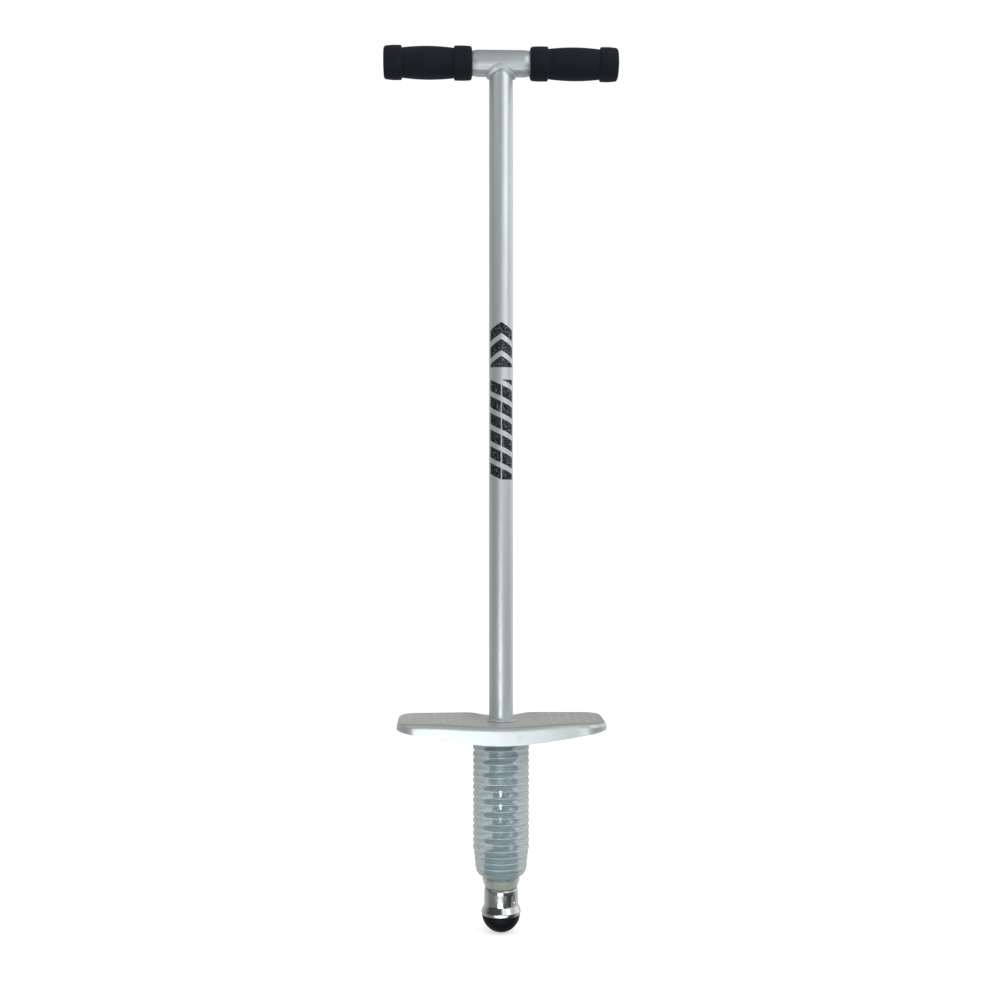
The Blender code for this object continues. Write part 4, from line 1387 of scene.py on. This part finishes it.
# %% Lights
def soft_light(name, place, aim, width, height, radiance, roll=0.0):
    """A rectangular soft box at a place, turned to face aim and rolled about that line."""
    data = bpy.data.lights.new(name, "AREA")
    data.shape = "RECTANGLE"
    data.size = width
    data.size_y = height
    data.energy = radiance * math.pi * width * height
    made = new_object(name, data)
    toward = (Vector(aim) - Vector(place)).to_track_quat("-Z", "Y").to_matrix().to_4x4()
    made.matrix_world = Matrix.Translation(place) @ toward @ Matrix.Rotation(roll, 4, "Z")
    return made


VIEW_TURN = math.radians(2.0)
turned_view = Matrix.Rotation(-VIEW_TURN, 4, "Z")


def from_camera(x, y, z):
    """A place as it is seen from the camera: right, away and up."""
    return turned_view @ Vector((x, y, z))


STRIPS_X = 0.16
STRIPS_Z = 0.44
STRIPS_LEAN = math.radians(-47.0)
for name, along, radiance in (("upper_strip", 0.575, 2.1), ("lower_strip", -0.575, 1.6)):
    strip_x = STRIPS_X - along * math.sin(STRIPS_LEAN)
    strip_z = STRIPS_Z + along * math.cos(STRIPS_LEAN)
    ahead = from_camera(strip_x - STRIPS_X, 0.0, strip_z)
    soft_light(name, from_camera(strip_x, -1.9, strip_z), ahead, 0.6, 0.78, radiance, STRIPS_LEAN)
soft_light("low_box", from_camera(-0.13, -1.77, -0.10), (0.0, 0.0, 0.17), 1.0, 0.30, 7.9)
soft_light("foot_card", from_camera(-0.66, -1.77, -0.50), (0.0, 0.0, 0.05), 0.20, 0.26, 0.9)
soft_light("floor_card", from_camera(0.0, -0.95, -0.52), (0.0, 0.0, 0.92), 1.6, 0.35, 4.6)
high_box = soft_light("high_right_box", from_camera(1.40, -1.30, 1.45), (0.0, 0.0, 0.86), 1.2, 1.3, 0.47)
high_box.data.spread = math.radians(75.0)
soft_light("key", from_camera(1.0, -1.2, 2.2), (0.0, 0.0, 0.3), 0.5, 0.5, 6.0)
soft_light("top_left_box", from_camera(-1.2, -0.9, 1.75), (0.0, 0.0, 0.2), 1.8, 1.1, 0.8)
print(len(bpy.data.lights), "soft lights")

# %% [markdown]
# ## The room
#
# The camera sees plain white behind the stick, but chrome and paint need a room to mirror. It is
# drawn as a few soft patches: a pale back wall with a dark panel in it, a bright wall on the
# right, a dim floor on the left and a faint ceiling. Everything else is lit by an even sky.

# %% The mirrored room
CAMERA_WHITE = 1.02
EVEN_SKY = 0.52
world = bpy.data.worlds.new("studio")
world.use_nodes = True
room = Nodes(world.node_tree)
x, y, z = room.parts(room.add("ShaderNodeTexCoord", out="Generated"))
back = y.ramp(-0.1, 0.7)
right = x.ramp(-0.3, 0.3)
low = 1.0 - z.ramp(-0.15, 0.15)
flat_back = back * (1.0 - z.ramp(0.3, 0.7))
above = z.ramp(0.5, 1.0) * 0.10
floor_left = low * (1.0 - right) * (1.0 - back) * 0.20
right_wall = x.ramp(0.35, 0.9) * z.ramp(-0.12, 0.12) * 0.75
dark_panel = x.ramp(0.05, 0.2) * (1.0 - x.ramp(0.4, 0.55))
back_wall = flat_back * (x.ramp(0.45, 0.8) * 0.30 + 0.60 - dark_panel * 0.35)
mirrored_room = back_wall + floor_left + right_wall + above + 0.06
seen = room.add("ShaderNodeLightPath", out="Is Camera Ray")
glossy = Value(room, seen.socket.node.outputs["Is Glossy Ray"])
rest = 1.0 - seen - glossy
brightness = seen * CAMERA_WHITE + glossy * mirrored_room + rest * EVEN_SKY
room.tree.links.new(brightness.socket, room.tree.nodes["Background"].inputs["Strength"])
room.tree.nodes["Background"].inputs["Color"].default_value = (1.0, 1.0, 1.0, 1.0)
bpy.context.scene.world = world
bpy.context.scene.view_settings.view_transform = "Standard"
print("the room has", len(world.node_tree.nodes), "nodes")

# %% [markdown]
# ## The camera
#
# The camera stands level, a metre and a half off, half way up the stick, so uprights stay
# upright, the grips are seen a little from below and the footplate from above.

# %% Camera
CAMERA_DISTANCE = 1.5
CAMERA_Z = 0.4604
SENSOR = 36.0
WIDTH_PER_METRE = 1.0 / (1.067 * MM)
lens = bpy.data.cameras.new("camera")
lens.sensor_width = SENSOR
lens.lens = SENSOR * CAMERA_DISTANCE * WIDTH_PER_METRE / 1000.0
camera = new_object("camera", lens)
camera.location = from_camera(-1.07 * MM, -CAMERA_DISTANCE, CAMERA_Z)
camera.rotation_euler = (0.5 * math.pi, 0.0, -VIEW_TURN)
bpy.context.scene.camera = camera
bpy.data.materials.remove(hidden_finish.material)
print("lens", round(lens.lens, 2), "mm")

# %% [markdown]
